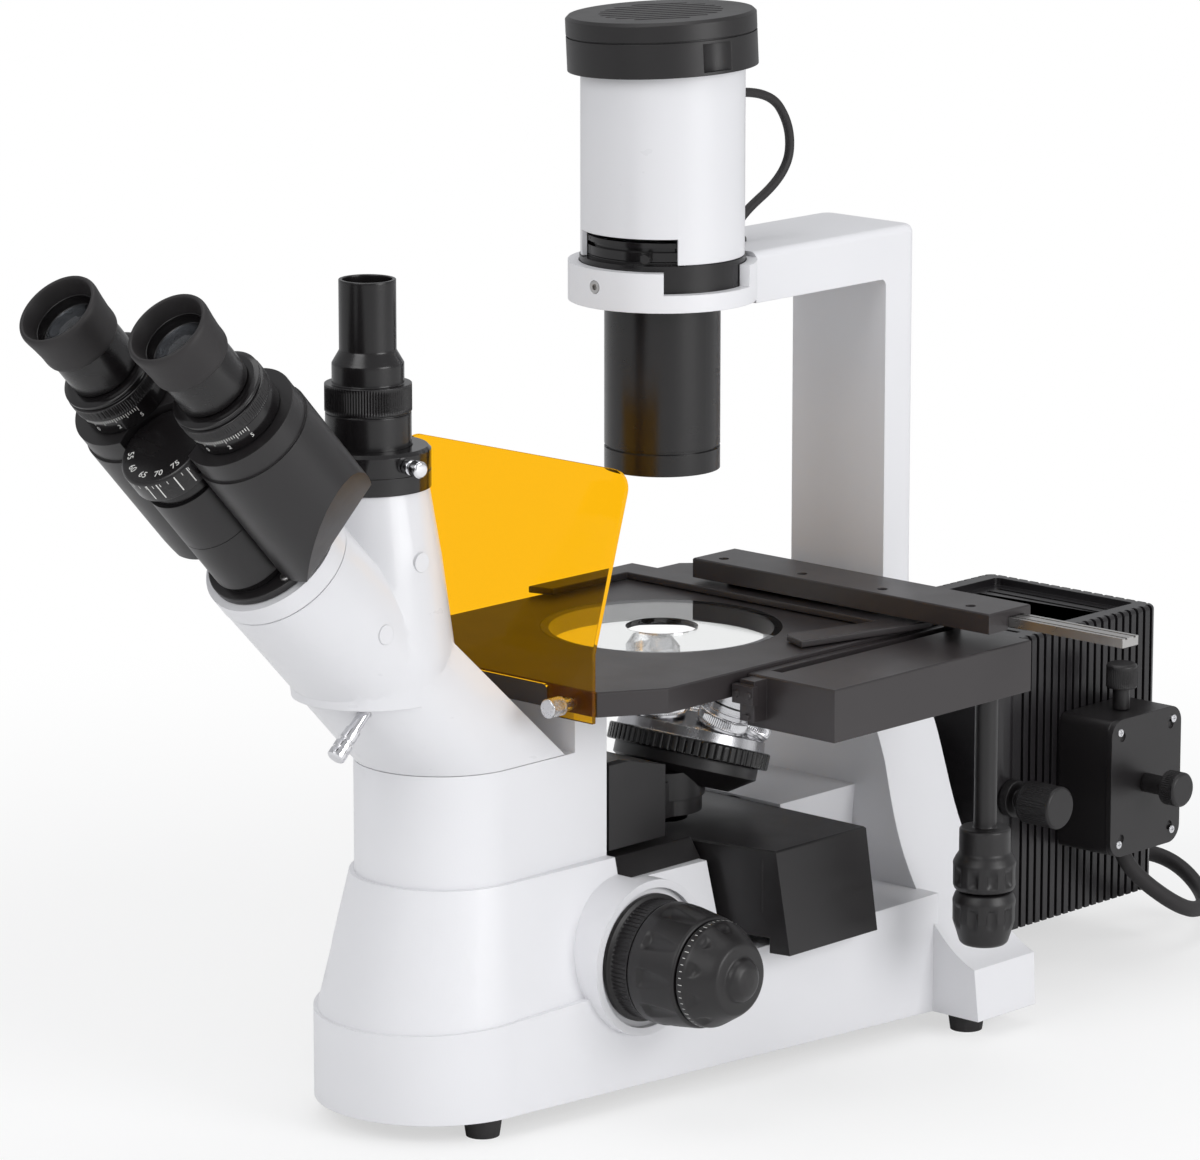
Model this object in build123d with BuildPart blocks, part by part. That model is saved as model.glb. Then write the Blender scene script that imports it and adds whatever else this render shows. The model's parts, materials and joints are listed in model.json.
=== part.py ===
from build123d import *
import math
import os

os.makedirs("parts", exist_ok=True)

# All sizes are in millimetres. Heights count from the bench, x to the user's right and
# y away from the user, both from the optical axis, which stands at axis_x, axis_y.
axis_x = -47.65
axis_y = 25.3
seat_gap = 0.3
slide_gap = 0.1
shaft_gap = 0.05
wall = 6.0

# Base, column and rear foot
base_z = 10.0
nose_r = 57.0
nose_y = -161.0
plinth_rear_x = 88.0
plinth_rear_y = 108.0
plinth_front_z = 56.0
plinth_rise = 0.054
body_top_z = 119.0
body_top_r = 44.5
body_rear_y = -26.0
body_rear_x = 50.0
column_r = 42.0
column_y = -154.0
column_rear_y = -85.0
head_seat_z = 173.5
post_front_y = -107.0
foot_front_y = 105.0
foot_rear_y = 150.0
foot_x = 117.0
foot_side_z = 36.0
pillar_x = 30.5
pillar_front_y = 131.0
pillar_rear_y = 156.0
shelf_front_y = 112.0
foot_pad_r = 9.5
foot_pad_x = 43.0
foot_pad_front_y = -172.0
foot_pad_rear_x = 97.0
foot_pad_rear_y = 120.0
duct_top_z = 116.0
duct_front_y = 54.0
pocket_top_z = 48.0
plate_t = 2.0

# Stage
stage_z = 211.0
stage_t = 12.0
stage_x = 92.0
stage_front_y = -125.7
stage_front_x = 73.7
stage_corner_y = -96.6
stage_rear_y = 128.0
insert_r = 59.0
insert_t = 3.0
insert_hole_r = 17.8
insert_ledge = 4.0

shield_x = 73.0
shield_t = 2.4
shield_low_z = 196.0
shield_bend_z = 229.0
shield_top_y = -101.0
shield_top_z = 312.0
shield_tab_x = 44.0
shield_screw_x = 59.0

# Arm, lamp tube and condenser
arm_bottom_z = 370.0
arm_top_z = 395.0
ring_bottom_z = 373.5
ring_top_z = 392.5
tube_r = 39.7
ring_bore_r = tube_r + 0.9
ring_r = ring_bore_r + 5.2
tube_wall = 2.5
tube_bottom_z = 395.5
tube_h = 101.5
tube_top_z = tube_bottom_z + tube_h
cap_r = tube_r + 6.3
cap_z = tube_top_z - 11.1
cap_h = 16.5
lid_h = 10.0
cap_lean = 2.5
notch_from = -125.0
notch_span = 88.0
cap_recess = -56.0
cap_skirt_r = tube_r + 1.3
gland_z = tube_top_z - 29.0
gland_tip = tube_r + 6.3
gland_y = tube_r + 12.3
cable_r = 2.3
lead_r = 4.25
socket_r = 14.0
collector_z = tube_top_z - 67.0
collector_r = 30.0
lens_r = 22.0
groove_h = 10.5
iris_lever_angle = -59.0
window_from = -47.0
window_span = 65.0
set_screw_angle = -93.0
barrel_r = 28.2
barrel_bottom_z = 290.5
notch_top_z = 408.0

# Head
tilt = 47.0
dial_y = -331.0
dial_z = 348.0
photo_y = -201.4
photo_ring_r = 29.0
photo_ring_z = 310.6
photo_ring_h = 19.4
photo_sleeve_r = 20.0
photo_top_z = 407.5
head_tube_r = 33.5
head_tube_rise = 8.0
head_face = -88.0
hinge_r = 20.0
dial_r = 22.0
arm_x = 35.5
arm_rise = 20.0
scallop_r = 22.6
rod_x = 20.0
rod_a = -173.0
housing_r = 29.0
eye_closest_x = 27.5
cup_end = 65.5
cup_r = 20.0
diopter_r = 22.4
diopter_top = 23.2

# Nosepiece, focus and optics
nose_tilt = 18.0
nose_low_z = 86.0
nose_rim_r = 39.5
nose_rim_t = 8.5
nose_seat_z = 167.0
objective_count = 5
focus_y = -83.0
focus_z = 73.0
pinion_r = 6.0
pinion_teeth = 16
coarse_r = 29.5
fine_r = 25.9
coarse_x0 = 80.0
coarse_x1 = 107.0
fine_x1 = 132.0
dimple_count = 10
leg_z = 55.0
well_front_y = -91.0
well_rear_y = -58.0
carrier_x = 39.0
carrier_z = 119.5
deck_z = 107.0
cover_rear_y = -25.0
cover_top_z = 117.0
boss_r = 38.0
boss_x = 69.0
light_z = 40.0

# Mains inlet, switch and brightness knob
inlet_x = -62.0
inlet_z = 27.0
switch_x = 62.0
switch_z = 27.0
switch_pin_r = 1.0
dimmer_y = -120.0
dimmer_z = 34.0
dimmer_r = 11.0

# Fluorescence attachment
lamp_axis_z = 98.0
lamp_x = 57.0
lamp_front_y = 186.0
lamp_fin_y = 208.0
lamp_rear_y = 323.0
lamp_bottom_z = 25.7
lamp_top_z = 178.0
box_x = 92.0
box_front_y = 241.0
box_rear_y = 297.0
box_bottom_z = 63.0
box_top_z = 134.0
cube_top_z = 115.0
cube_bottom_z = 76.0
cube_front_y = -24.0
cube_rear_y = 53.0
cube_x = 40.0
bay_low_z = 71.5
slider_y = 0.0
slider_z = 97.0
slider_w = 30.0
slider_h = 26.0
cell_pitch = 26.0
burner_y = 269.0
knob_x = 75.0

# Mechanical stage
block_x0 = 92.0
block_x1 = 146.6
block_y0 = -40.7
block_y1 = 105.5
block_z0 = 183.5
block_z1 = 209.0
bar_x0 = -45.0
bar_x1 = 147.0
bar_y0 = 72.4
bar_z0 = 217.0
bar_z1 = 227.0
control_x = 133.5
control_y = 88.0
rail_x0 = -30.0
rail_x1 = 217.0
rail_y = 93.0
rail_z = 221.0
rail_w = 12.0
rail_h = 4.6
bar_back_y = 104.0


def level(z, x=0.0, y=0.0):
    """Horizontal plane at a height, its origin at x, y from the optical axis."""
    return Plane(origin=(axis_x + x, axis_y + y, z))


def across(y, x=0.0, z=0.0):
    """Upright plane seen from the front: local x to the right, local y up."""
    return Plane(origin=(axis_x + x, axis_y + y, z), x_dir=(1, 0, 0), z_dir=(0, -1, 0))


def along(x, y=0.0, z=0.0):
    """Upright plane seen from the right: local x to the rear, local y up."""
    return Plane(origin=(axis_x + x, axis_y + y, z), x_dir=(0, 1, 0), z_dir=(1, 0, 0))


def lifted(plane, distance, x=0.0, y=0.0):
    """The same plane moved along its normal, and in itself by x and y."""
    shift = plane.x_dir * x + plane.y_dir * y + plane.z_dir * distance
    return Plane(origin=plane.origin + shift, x_dir=plane.x_dir, z_dir=plane.z_dir)


def turn(plane, outline, mode=Mode.ADD):
    """Turn an outline of (radius, height) points about the plane's normal."""
    upright = Plane(origin=plane.origin, x_dir=plane.x_dir, z_dir=-plane.y_dir)
    with BuildSketch(upright) as section:
        with BuildLine():
            Polyline(*outline, close=True)
        make_face()
    revolve(section.sketch.faces(), axis=Axis(plane.origin, plane.z_dir), mode=mode)


def disc(plane, radius, height, mode=Mode.ADD):
    """A round boss or, with Mode.SUBTRACT, a round hole that stands on a plane."""
    with BuildSketch(plane) as section:
        Circle(radius)
    extrude(section.sketch.faces(), amount=height, dir=plane.z_dir, mode=mode)


def block(plane, width, depth, height, corner=0.0, mode=Mode.ADD):
    """A bar of rectangular section that stands on a plane, with rounded corners."""
    with BuildSketch(plane) as section:
        if corner > 0:
            RectangleRounded(width, depth, corner)
        else:
            Rectangle(width, depth)
    extrude(section.sketch.faces(), amount=height, dir=plane.z_dir, mode=mode)


def column_plan(plane, radius, front_y, rear_y, rear_x, nose=True):
    """Round nose that runs back into straight sides."""
    with BuildSketch(plane) as plan:
        with BuildLine():
            if nose:
                ThreePointArc((-radius, front_y), (0, front_y - radius), (radius, front_y))
            else:
                Line((-radius, front_y), (radius, front_y))
            Polyline((radius, front_y), (rear_x, rear_y), (-rear_x, rear_y), (-radius, front_y))
        make_face()
    return plan.sketch.faces()


# The head's planes: the hinge axis runs up towards the user at the tilt
hinge = Plane(
    origin=(axis_x, axis_y + dial_y, dial_z),
    x_dir=(1, 0, 0),
    z_dir=(0, -math.cos(math.radians(tilt)), math.sin(math.radians(tilt))),
)
head_axis = lifted(hinge, 0.0, y=head_tube_rise)
down_to_seat = (hinge.origin.Z + head_tube_rise * math.cos(math.radians(tilt)) - light_z)
down_to_seat = down_to_seat / math.sin(math.radians(tilt))
light_y = head_axis.origin.Y - axis_y + down_to_seat * math.cos(math.radians(tilt))

# The plinth's side wall stands at this x where the dimmer comes out of it
plinth_spread = (plinth_rear_x - nose_r) / (plinth_rear_y - nose_y)
dimmer_face_x = nose_r + (dimmer_y - nose_y) * plinth_spread

# Feet: four tapered rubber pads
foot_places = [
    (foot_pad_x, foot_pad_front_y),
    (-foot_pad_x, foot_pad_front_y),
    (foot_pad_rear_x, foot_pad_rear_y),
    (-foot_pad_rear_x, foot_pad_rear_y),
]
with BuildPart() as feet:
    for x, y in foot_places:
        turn(level(0, x, y), [(0, 0), (foot_pad_r - 1.5, 0), (foot_pad_r, base_z), (0, base_z)])
feet.part.label = "feet"
export_step(feet.part, "parts/feet.step")

# Base casting: plinth, nose body, column, light duct, rear foot and pillar root
relay_r = 17.0
leg_x = 14.0
leg_y0 = focus_y + pinion_r
leg_y1 = leg_y0 + 12.0
with BuildPart() as base_casting:
    plan = column_plan(level(base_z), nose_r, nose_y, plinth_rear_y, plinth_rear_x)
    extrude(plan, amount=plinth_front_z + 30, dir=(0, 0, 1))
    slope = math.degrees(math.atan(plinth_rise))
    top = Plane(origin=(axis_x, axis_y + nose_y, plinth_front_z), x_dir=(1, 0, 0),
                z_dir=(0, -math.sin(math.radians(slope)), math.cos(math.radians(slope))))
    split(bisect_by=top, keep=Keep.BOTTOM)
    low = column_plan(level(plinth_front_z - 8), nose_r - 0.4, nose_y, body_rear_y, body_rear_x + 19)
    high = column_plan(level(body_top_z), body_top_r, column_y, body_rear_y, body_rear_x)
    loft(low + high)
    shaft = column_plan(level(body_top_z - 10), column_r, column_y, column_rear_y, column_r)
    extrude(shaft, amount=head_seat_z - body_top_z + 10, dir=(0, 0, 1))
    post = column_plan(level(head_seat_z - 5), column_r, post_front_y, column_rear_y, column_r, nose=False)
    extrude(post, amount=stage_z - stage_t - head_seat_z + 5, dir=(0, 0, 1))
    block(level(plinth_front_z, 0, (duct_front_y + foot_front_y + 20) / 2), 2 * pillar_x,
          foot_front_y + 20 - duct_front_y, duct_top_z - plinth_front_z)
    for side in (-1, 1):
        disc(along(0, focus_y, focus_z) if side > 0 else along(-boss_x, focus_y, focus_z), boss_r, boss_x)
    with BuildSketch(across(foot_rear_y + 10)) as flare:
        with BuildLine():
            right = Spline((foot_x - 3, foot_side_z), (86, 57), (60, 98), (44, 144), (pillar_x, 199),
                           tangents=[(-1, 0.35), (0, 1)])
            Polyline((pillar_x, 199), (-pillar_x, 199))
            left = Spline((-pillar_x, 199), (-44, 144), (-60, 98), (-86, 57), (-foot_x + 3, foot_side_z),
                          tangents=[(0, -1), (-1, -0.35)])
            Polyline((-foot_x + 3, foot_side_z), (-foot_x, base_z), (foot_x, base_z),
                     (foot_x - 3, foot_side_z))
        make_face()
    with BuildSketch(along(-foot_x - 1)) as side_view:
        with BuildLine():
            Polyline((foot_front_y, base_z), (foot_front_y, 60), (shelf_front_y, 130),
                     (shelf_front_y, 199), (pillar_rear_y, 199), (pillar_rear_y, 90),
                     (foot_rear_y, base_z), close=True)
        make_face()
    rear = extrude(flare.sketch.faces(), amount=foot_rear_y - foot_front_y + 40, dir=(0, -1, 0),
                   mode=Mode.PRIVATE)
    depth = extrude(side_view.sketch.faces(), amount=2 * foot_x + 2, dir=(1, 0, 0), mode=Mode.PRIVATE)
    add(rear & depth)
    block(level(plinth_front_z, 0, 15), 60, 66, cube_bottom_z - seat_gap - plinth_front_z)
    block(level(deck_z, 0, (column_rear_y + cube_front_y) / 2 + 5), 120, cube_front_y - column_rear_y + 10, 40,
          mode=Mode.SUBTRACT)
    # Inside: the lower pocket, the focus well, the light path and the shaft bore
    pocket = column_plan(level(base_z), nose_r - wall, nose_y, plinth_rear_y - wall, plinth_rear_x - wall)
    extrude(pocket, amount=pocket_top_z - base_z, dir=(0, 0, 1), mode=Mode.SUBTRACT)
    for x, y in foot_places[:2]:
        disc(level(base_z, x, y), foot_pad_r + 1.5, pocket_top_z - base_z + 1)
    block(level(base_z, 0, (well_front_y + well_rear_y) / 2), 2 * leg_x + 4, well_rear_y - well_front_y,
          deck_z - base_z, mode=Mode.SUBTRACT)
    disc(level(base_z), 19.0, 100, mode=Mode.SUBTRACT)
    disc(lifted(head_axis, -down_to_seat - 10), relay_r + seat_gap, 260, mode=Mode.SUBTRACT)
    disc(across(foot_rear_y + 20, 0, lamp_axis_z), 17.0, 130, mode=Mode.SUBTRACT)
    disc(along(-boss_x - 5, focus_y, focus_z), 5.0 + shaft_gap, 2 * boss_x + 10, mode=Mode.SUBTRACT)
    for side in (-1, 1):
        face = along(boss_x - 3, focus_y, focus_z) if side > 0 else along(-boss_x - 1, focus_y, focus_z)
        disc(face, boss_r - 4, 4, mode=Mode.SUBTRACT)
    block(across(foot_rear_y + 20, inlet_x, inlet_z), 32.0, 24.0, 20, mode=Mode.SUBTRACT)
    block(across(foot_rear_y + 20, inlet_x, inlet_z), 26.4, 18.4, 45, mode=Mode.SUBTRACT)
    block(across(foot_rear_y + 20, switch_x, switch_z), 17.0, 14.0, 45, mode=Mode.SUBTRACT)
    disc(along(switch_x - 9, foot_rear_y - 3, switch_z), switch_pin_r - shaft_gap, 18)
    disc(along(-dimmer_face_x - 5, dimmer_y, dimmer_z), 3.05, 20, mode=Mode.SUBTRACT)
base_casting.part.label = "base_casting"
export_step(base_casting.part, "parts/base_casting.step")


# Bottom plate, let into the pocket, slotted for cooling
with BuildPart() as bottom_plate:
    plan = column_plan(level(base_z), nose_r - wall - seat_gap, nose_y, plinth_rear_y - wall - seat_gap,
                       plinth_rear_x - wall - seat_gap)
    extrude(plan, amount=plate_t, dir=(0, 0, 1))
    for x, y in foot_places[:2]:
        disc(level(base_z, x, y), foot_pad_r + 1.5 + seat_gap, plate_t, mode=Mode.SUBTRACT)
    for row in range(6):
        block(level(base_z, 0, -110 + 9 * row), 46, 3.5, plate_t, corner=1.7, mode=Mode.SUBTRACT)
bottom_plate.part.label = "bottom_plate"
export_step(bottom_plate.part, "parts/bottom_plate.step")

# Circuit board on four posts, with transformer and two capacitors
post_h = 5.0
board_t = 1.6
board_x = 46.0
board_y = 45.0
with BuildPart() as power_board:
    board_z = base_z + plate_t + post_h
    block(level(board_z, board_x, board_y), 46, 62, board_t)
    for dx in (-19, 19):
        for dy in (-26, 26):
            disc(level(board_z - post_h, board_x + dx, board_y + dy), 2.5, post_h)
    block(level(board_z + board_t, board_x - 6, board_y - 12), 26, 30, 20)
    for dx in (-10, 6):
        disc(level(board_z + board_t, board_x + dx, board_y + 18), 5.0, 16)
power_board.part.label = "power_board"
export_step(power_board.part, "parts/power_board.step")

# Mains inlet at the back of the rear foot
socket_depth = 16.0
with BuildPart() as power_inlet:
    block(across(foot_rear_y + 3.0, inlet_x, inlet_z), 31, 23, 2.7, corner=2.0)
    block(across(foot_rear_y + 0.5, inlet_x, inlet_z), 26, 18, socket_depth + 4, corner=2.0)
    block(across(foot_rear_y + 3.0, inlet_x, inlet_z), 22, 14, socket_depth, corner=3.0, mode=Mode.SUBTRACT)
    for dx, dz in ((-6, -2), (6, -2), (0, 3)):
        block(across(foot_rear_y - 4.0, inlet_x + dx, inlet_z + dz), 2, 4.5, socket_depth - 6.5)
power_inlet.part.label = "power_inlet"
export_step(power_inlet.part, "parts/power_inlet.step")

# Rocker switch beside it: it tips about a pin along x
rocker_w = 16.4
rocker_depth = 7.0
with BuildPart() as power_switch:
    with BuildSketch(along(switch_x - rocker_w / 2, foot_rear_y, switch_z)) as rocker:
        with BuildLine():
            Polyline((-rocker_depth, -6), (2.6, -6), (0.6, 0), (3.4, 6), (-rocker_depth, 6), close=True)
        make_face()
    extrude(rocker.sketch.faces(), amount=rocker_w, dir=(1, 0, 0))
    fillet(power_switch.edges().filter_by(Axis.X).group_by(Axis.Y)[-1], 0.8)
    disc(along(switch_x - rocker_w / 2, foot_rear_y - 3, switch_z), switch_pin_r, rocker_w, mode=Mode.SUBTRACT)
power_switch.part.label = "power_switch"
export_step(power_switch.part, "parts/power_switch.step")

# Brightness knob on the plinth's left side
with BuildPart() as brightness_knob:
    face = Plane(origin=(axis_x - dimmer_face_x - 1.5, axis_y + dimmer_y, dimmer_z),
                 x_dir=(0, -1, 0), z_dir=(-1, 0, 0))
    turn(face, [(0, -12), (3, -12), (3, 0), (dimmer_r, 0), (dimmer_r - 1.5, 11), (dimmer_r - 3, 12), (0, 12)])
    block(lifted(face, 10.0, y=dimmer_r - 4), 1.2, 5, 3, mode=Mode.SUBTRACT)
brightness_knob.part.label = "brightness_knob"
export_step(brightness_knob.part, "parts/brightness_knob.step")

# Pillar and arm: one casting, a split ring at the arm's end
arm_nose_y = 34.0
lift = arm_top_z - arm_bottom_z
pillar_foot_z = 199.0
with BuildPart() as pillar_arm:
    block(level(pillar_foot_z, 0, (pillar_front_y + pillar_rear_y) / 2), 2 * pillar_x,
          pillar_rear_y - pillar_front_y, arm_top_z - pillar_foot_z)
    block(level(arm_bottom_z, 0, (arm_nose_y + pillar_rear_y) / 2), 2 * pillar_x,
          pillar_rear_y - arm_nose_y, lift)
    fillet(pillar_arm.edges().filter_by(Axis.Z).group_by(Axis.Y)[-1], 8)
    fillet(pillar_arm.edges().filter_by(Axis.X).group_by(Axis.Z)[-1].sort_by(Axis.Y)[-1], 4)
    inside = pillar_arm.edges().filter_by(Axis.X).filter_by_position(Axis.Y, axis_y + pillar_front_y - 1,
                                                                      axis_y + pillar_front_y + 1)
    fillet(inside.sort_by(Axis.Z)[-1], 3.5)
    disc(level(ring_bottom_z), ring_r, ring_top_z - ring_bottom_z)
    fillet(pillar_arm.edges().filter_by(GeomType.CIRCLE).group_by(Axis.Z)[0], 2)
    disc(level(ring_bottom_z - 8), ring_bore_r, 60, mode=Mode.SUBTRACT)
    with BuildSketch(level(ring_top_z - 10.5)) as window:
        with BuildLine():
            CenterArc((0, 0), ring_r + 12, window_from, window_span)
            Polyline(Vector(ring_r + 12, 0).rotate(Axis.Z, window_from + window_span), (0, 0),
                     Vector(ring_r + 12, 0).rotate(Axis.Z, window_from))
        make_face()
    extrude(window.sketch.faces(), amount=30, dir=(0, 0, 1), mode=Mode.SUBTRACT)
    disc(level(arm_top_z - 6, 0, gland_y), 4.0, 12, mode=Mode.SUBTRACT)
    screw_cos = math.cos(math.radians(set_screw_angle))
    screw_sin = math.sin(math.radians(set_screw_angle))
    hex_key = Plane(origin=(axis_x + ring_r * screw_cos, axis_y + ring_r * screw_sin, 384),
                    x_dir=(-screw_sin, screw_cos, 0), z_dir=(screw_cos, screw_sin, 0))
    disc(lifted(hex_key, -6.0), 3.2, 12, mode=Mode.SUBTRACT)
    block(level(pillar_foot_z - 1, 0, (pillar_front_y + pillar_rear_y) / 2), 34, 12, 150, mode=Mode.SUBTRACT)
pillar_arm.part.label = "pillar_arm"
export_step(pillar_arm.part, "parts/pillar_arm.step")

# Screws of the stand: ring clamp, bottom plate and head lock
with BuildPart() as stand_screws:
    disc(lifted(hex_key, -5.0), 3.0, 5.0)
    with BuildSketch(lifted(hex_key, 0.0)) as key:
        RegularPolygon(1.6, 6)
    extrude(key.sketch.faces(), amount=-2.5, mode=Mode.SUBTRACT)
    for x, y in [(30, -70), (-30, -70), (55, 88), (-55, 88)]:
        disc(level(base_z - 1.8, x, y), 3.5, 1.8)
stand_screws.part.label = "stand_screws"
export_step(stand_screws.part, "parts/stand_screws.step")

# Stage plate: chamfered front corners, stepped hole for the insert
with BuildPart() as stage_plate:
    with BuildSketch(level(stage_z - stage_t)) as outline:
        with BuildLine():
            Polyline((-stage_front_x, stage_front_y), (stage_front_x, stage_front_y),
                     (stage_x, stage_corner_y), (stage_x, stage_rear_y - 14), (stage_x - 14, stage_rear_y),
                     (-stage_x + 14, stage_rear_y), (-stage_x, stage_rear_y - 14),
                     (-stage_x, stage_corner_y), close=True)
        make_face()
    extrude(outline.sketch.faces(), amount=stage_t)
    disc(level(stage_z - insert_t), insert_r + seat_gap / 2, insert_t, mode=Mode.SUBTRACT)
    disc(level(stage_z - stage_t), insert_r - insert_ledge, stage_t, mode=Mode.SUBTRACT)
    chamfer(stage_plate.faces().sort_by(Axis.Z)[-1].outer_wire().edges(), 0.6)
    for side in (-1, 1):
        disc(across(stage_front_y, side * shield_screw_x, stage_z - 7.0), 2.05, -10, mode=Mode.SUBTRACT)
stage_plate.part.label = "stage_plate"
export_step(stage_plate.part, "parts/stage_plate.step")

# Glass insert with its viewing hole
with BuildPart() as glass_insert:
    disc(level(stage_z - insert_t), insert_r, insert_t)
    disc(level(stage_z - insert_t), insert_hole_r, insert_t, mode=Mode.SUBTRACT)
glass_insert.part.label = "glass_insert"
export_step(glass_insert.part, "parts/glass_insert.step")

# Stage extension: hollow guide housing beside the stage, with its hook clamp
block_mid_y = (block_y0 + block_y1) / 2
with BuildPart() as stage_extension:
    block(level(block_z0, (block_x0 + block_x1) / 2 + 0.15, block_mid_y), block_x1 - block_x0 - 0.3,
          block_y1 - block_y0, block_z1 - block_z0)
    chamfer(stage_extension.faces().sort_by(Axis.Z)[-1].outer_wire().edges(), 0.6)
    block(level(block_z0 + 4, 119.5, block_mid_y + 1), 45.0, block_y1 - block_y0 - 10, 18.0, mode=Mode.SUBTRACT)
    block(level(block_z0 - 1, control_x, 50), 15.0, 104, 8.0, mode=Mode.SUBTRACT)
    block(level(block_z0 + 15, 100.7, block_mid_y + 5), 6.8, block_y1 - block_y0 - 12, 30, mode=Mode.SUBTRACT)
    block(across(block_y0, 99.8, 198.0), 9.0, 20.0, 9.0)
    block(across(block_y0 - 9.0, 99.8, 201.5), 13.0, 9.0, 3.5)
    for dx, dz in ((-3.8, 6.0), (3.8, 6.0), (0, -5.5)):
        disc(across(block_y0 - 12.5 if dz > 0 else block_y0 - 9.0, 99.8 + dx, 198.0 + dz - 2.5), 1.6, 1.2)
stage_extension.part.label = "stage_extension"
export_step(stage_extension.part, "parts/stage_extension.step")

# Orange shield: bent sheet with two tabs screwed to the stage's front edge
shield_plan = along(-shield_x)
with BuildPart() as shield:
    bend_y = stage_front_y - seat_gap
    with BuildSketch(shield_plan) as bent:
        with BuildLine():
            Polyline((bend_y, shield_low_z), (bend_y, shield_bend_z), (shield_top_y, shield_top_z),
                     (shield_top_y - shield_t, shield_top_z + 0.9), (bend_y - shield_t, shield_bend_z + 0.6),
                     (bend_y - shield_t, shield_low_z), close=True)
        make_face()
    extrude(bent.sketch.faces(), amount=2 * shield_x)
    block(across(stage_front_y, 0, shield_low_z + 6.0), 2 * shield_tab_x, 17.0, 5.0, corner=3.0,
          mode=Mode.SUBTRACT)
    for side in (-1, 1):
        disc(across(stage_front_y, side * shield_screw_x, stage_z - 7.0), 2.4, 5.0, mode=Mode.SUBTRACT)
    corners = shield.edges().filter_by(lambda e: e.length < 4 and e.center().Z > shield_top_z - 2)
    fillet(corners, 10.0)
shield.part.label = "shield"
export_step(shield.part, "parts/shield.step")

# The shield's two thumb screws
for side, name in ((1, "right"), (-1, "left")):
    with BuildPart() as shield_screw:
        seat = across(bend_y - shield_t, side * shield_screw_x, stage_z - 7.0)
        turn(seat, [(0, -9), (2.0, -9), (2.0, 0), (3.2, 0), (3.2, 6), (4.6, 6.4), (4.6, 15.4), (4, 16), (0, 16)])
    shield_screw.part.label = f"shield_screw_{name}"
    export_step(shield_screw.part, f"parts/shield_screw_{name}.step")

# Lamp tube: thin shell, cut away at its front left where the iris shows
tube_inner_r = tube_r - tube_wall
with BuildPart() as lamp_tube:
    disc(level(tube_bottom_z), tube_r, tube_top_z - tube_bottom_z)
    disc(level(tube_bottom_z), tube_inner_r, tube_top_z - tube_bottom_z, mode=Mode.SUBTRACT)
    turn(level(collector_z), [(tube_inner_r, -4), (collector_r - 2, -4), (collector_r - 2, 0),
                              (collector_r + 0.3, 0), (collector_r + 0.3, 4), (tube_inner_r, 4)])
    with BuildSketch(level(tube_bottom_z)) as notch:
        with BuildLine():
            CenterArc((0, 0), tube_r + 10, notch_from, notch_span)
            Polyline(Vector(tube_r + 10, 0).rotate(Axis.Z, notch_from + notch_span), (0, 0),
                     Vector(tube_r + 10, 0).rotate(Axis.Z, notch_from))
        make_face()
    extrude(notch.sketch.faces(), amount=notch_top_z - tube_bottom_z, dir=(0, 0, 1), mode=Mode.SUBTRACT)
    disc(across(tube_r + 1, 0, gland_z), 4.0, 8, mode=Mode.SUBTRACT)
lamp_tube.part.label = "lamp_tube"
export_step(lamp_tube.part, "parts/lamp_tube.step")

# Cap with lid, thumb recess and lamp socket: it leans a little to the left of the picture
lean_sin = math.sin(math.radians(cap_lean))
lean_cos = math.cos(math.radians(cap_lean))
cap_plane = Plane(origin=(axis_x, axis_y, cap_z), x_dir=(0.7236 * lean_cos, 0.6902 * lean_cos, lean_sin),
                  z_dir=(-0.7236 * lean_sin, -0.6902 * lean_sin, lean_cos))
with BuildPart() as lamp_cap:
    turn(cap_plane, [(0, cap_h - 3), (cap_skirt_r, cap_h - 3), (cap_skirt_r, 0), (cap_r, 0), (cap_r, cap_h),
                     (cap_r - 1, cap_h), (cap_r - 1, cap_h + 0.8), (cap_r, cap_h + 0.8),
                     (cap_r, cap_h + lid_h - 1.5), (cap_r - 1.5, cap_h + lid_h), (0, cap_h + lid_h)])
    recess = lifted(cap_plane, 1.5, x=(cap_r + 10) * math.cos(math.radians(cap_recess)),
                    y=(cap_r + 10) * math.sin(math.radians(cap_recess)))
    disc(recess, 13.5, cap_h - 3.0, mode=Mode.SUBTRACT)
    for row in range(-4, 5):
        slot_l = 2 * math.sqrt(32.0**2 - (7.0 * row) ** 2) - 4
        block(lifted(cap_plane, cap_h + lid_h - 3, y=7.0 * row), slot_l, 2.6, 4, corner=1.25, mode=Mode.SUBTRACT)
    disc(lifted(cap_plane, cap_h - 14), socket_r, 11.2)
    block(lifted(cap_plane, cap_h - 22), 14, 9, 8.2)
lamp_cap.part.label = "lamp_cap"
export_step(lamp_cap.part, "parts/lamp_cap.step")

# Halogen capsule on two pins in the socket
with BuildPart() as halogen_bulb:
    bulb = lifted(cap_plane, cap_h - 22.3)
    turn(bulb, [(0, -27), (2, -26.4), (4.4, -23), (5, -19), (5, -8), (3.6, -6), (3.6, 0), (0, 0)])
halogen_bulb.part.label = "halogen_bulb"
export_step(halogen_bulb.part, "parts/halogen_bulb.step")

# Condenser barrel with the flange that sits in the arm's ring
with BuildPart() as condenser_barrel:
    flange_r = ring_bore_r - 0.4
    turn(level(barrel_bottom_z), [
        (lens_r - 1.5, 0), (barrel_r, 0), (barrel_r, groove_h), (barrel_r - 1.2, groove_h),
        (barrel_r - 1.2, groove_h + 1.5), (barrel_r, groove_h + 1.5), (barrel_r, 84.5), (flange_r, 84.5),
        (flange_r, 104.7), (tube_inner_r - 0.3, 104.7), (tube_inner_r - 0.3, 106), (20, 106),
        (20, 98), (lens_r + 0.3, 98), (lens_r + 0.3, 4), (lens_r - 1.5, 4)])
condenser_barrel.part.label = "condenser_barrel"
export_step(condenser_barrel.part, "parts/condenser_barrel.step")

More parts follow.
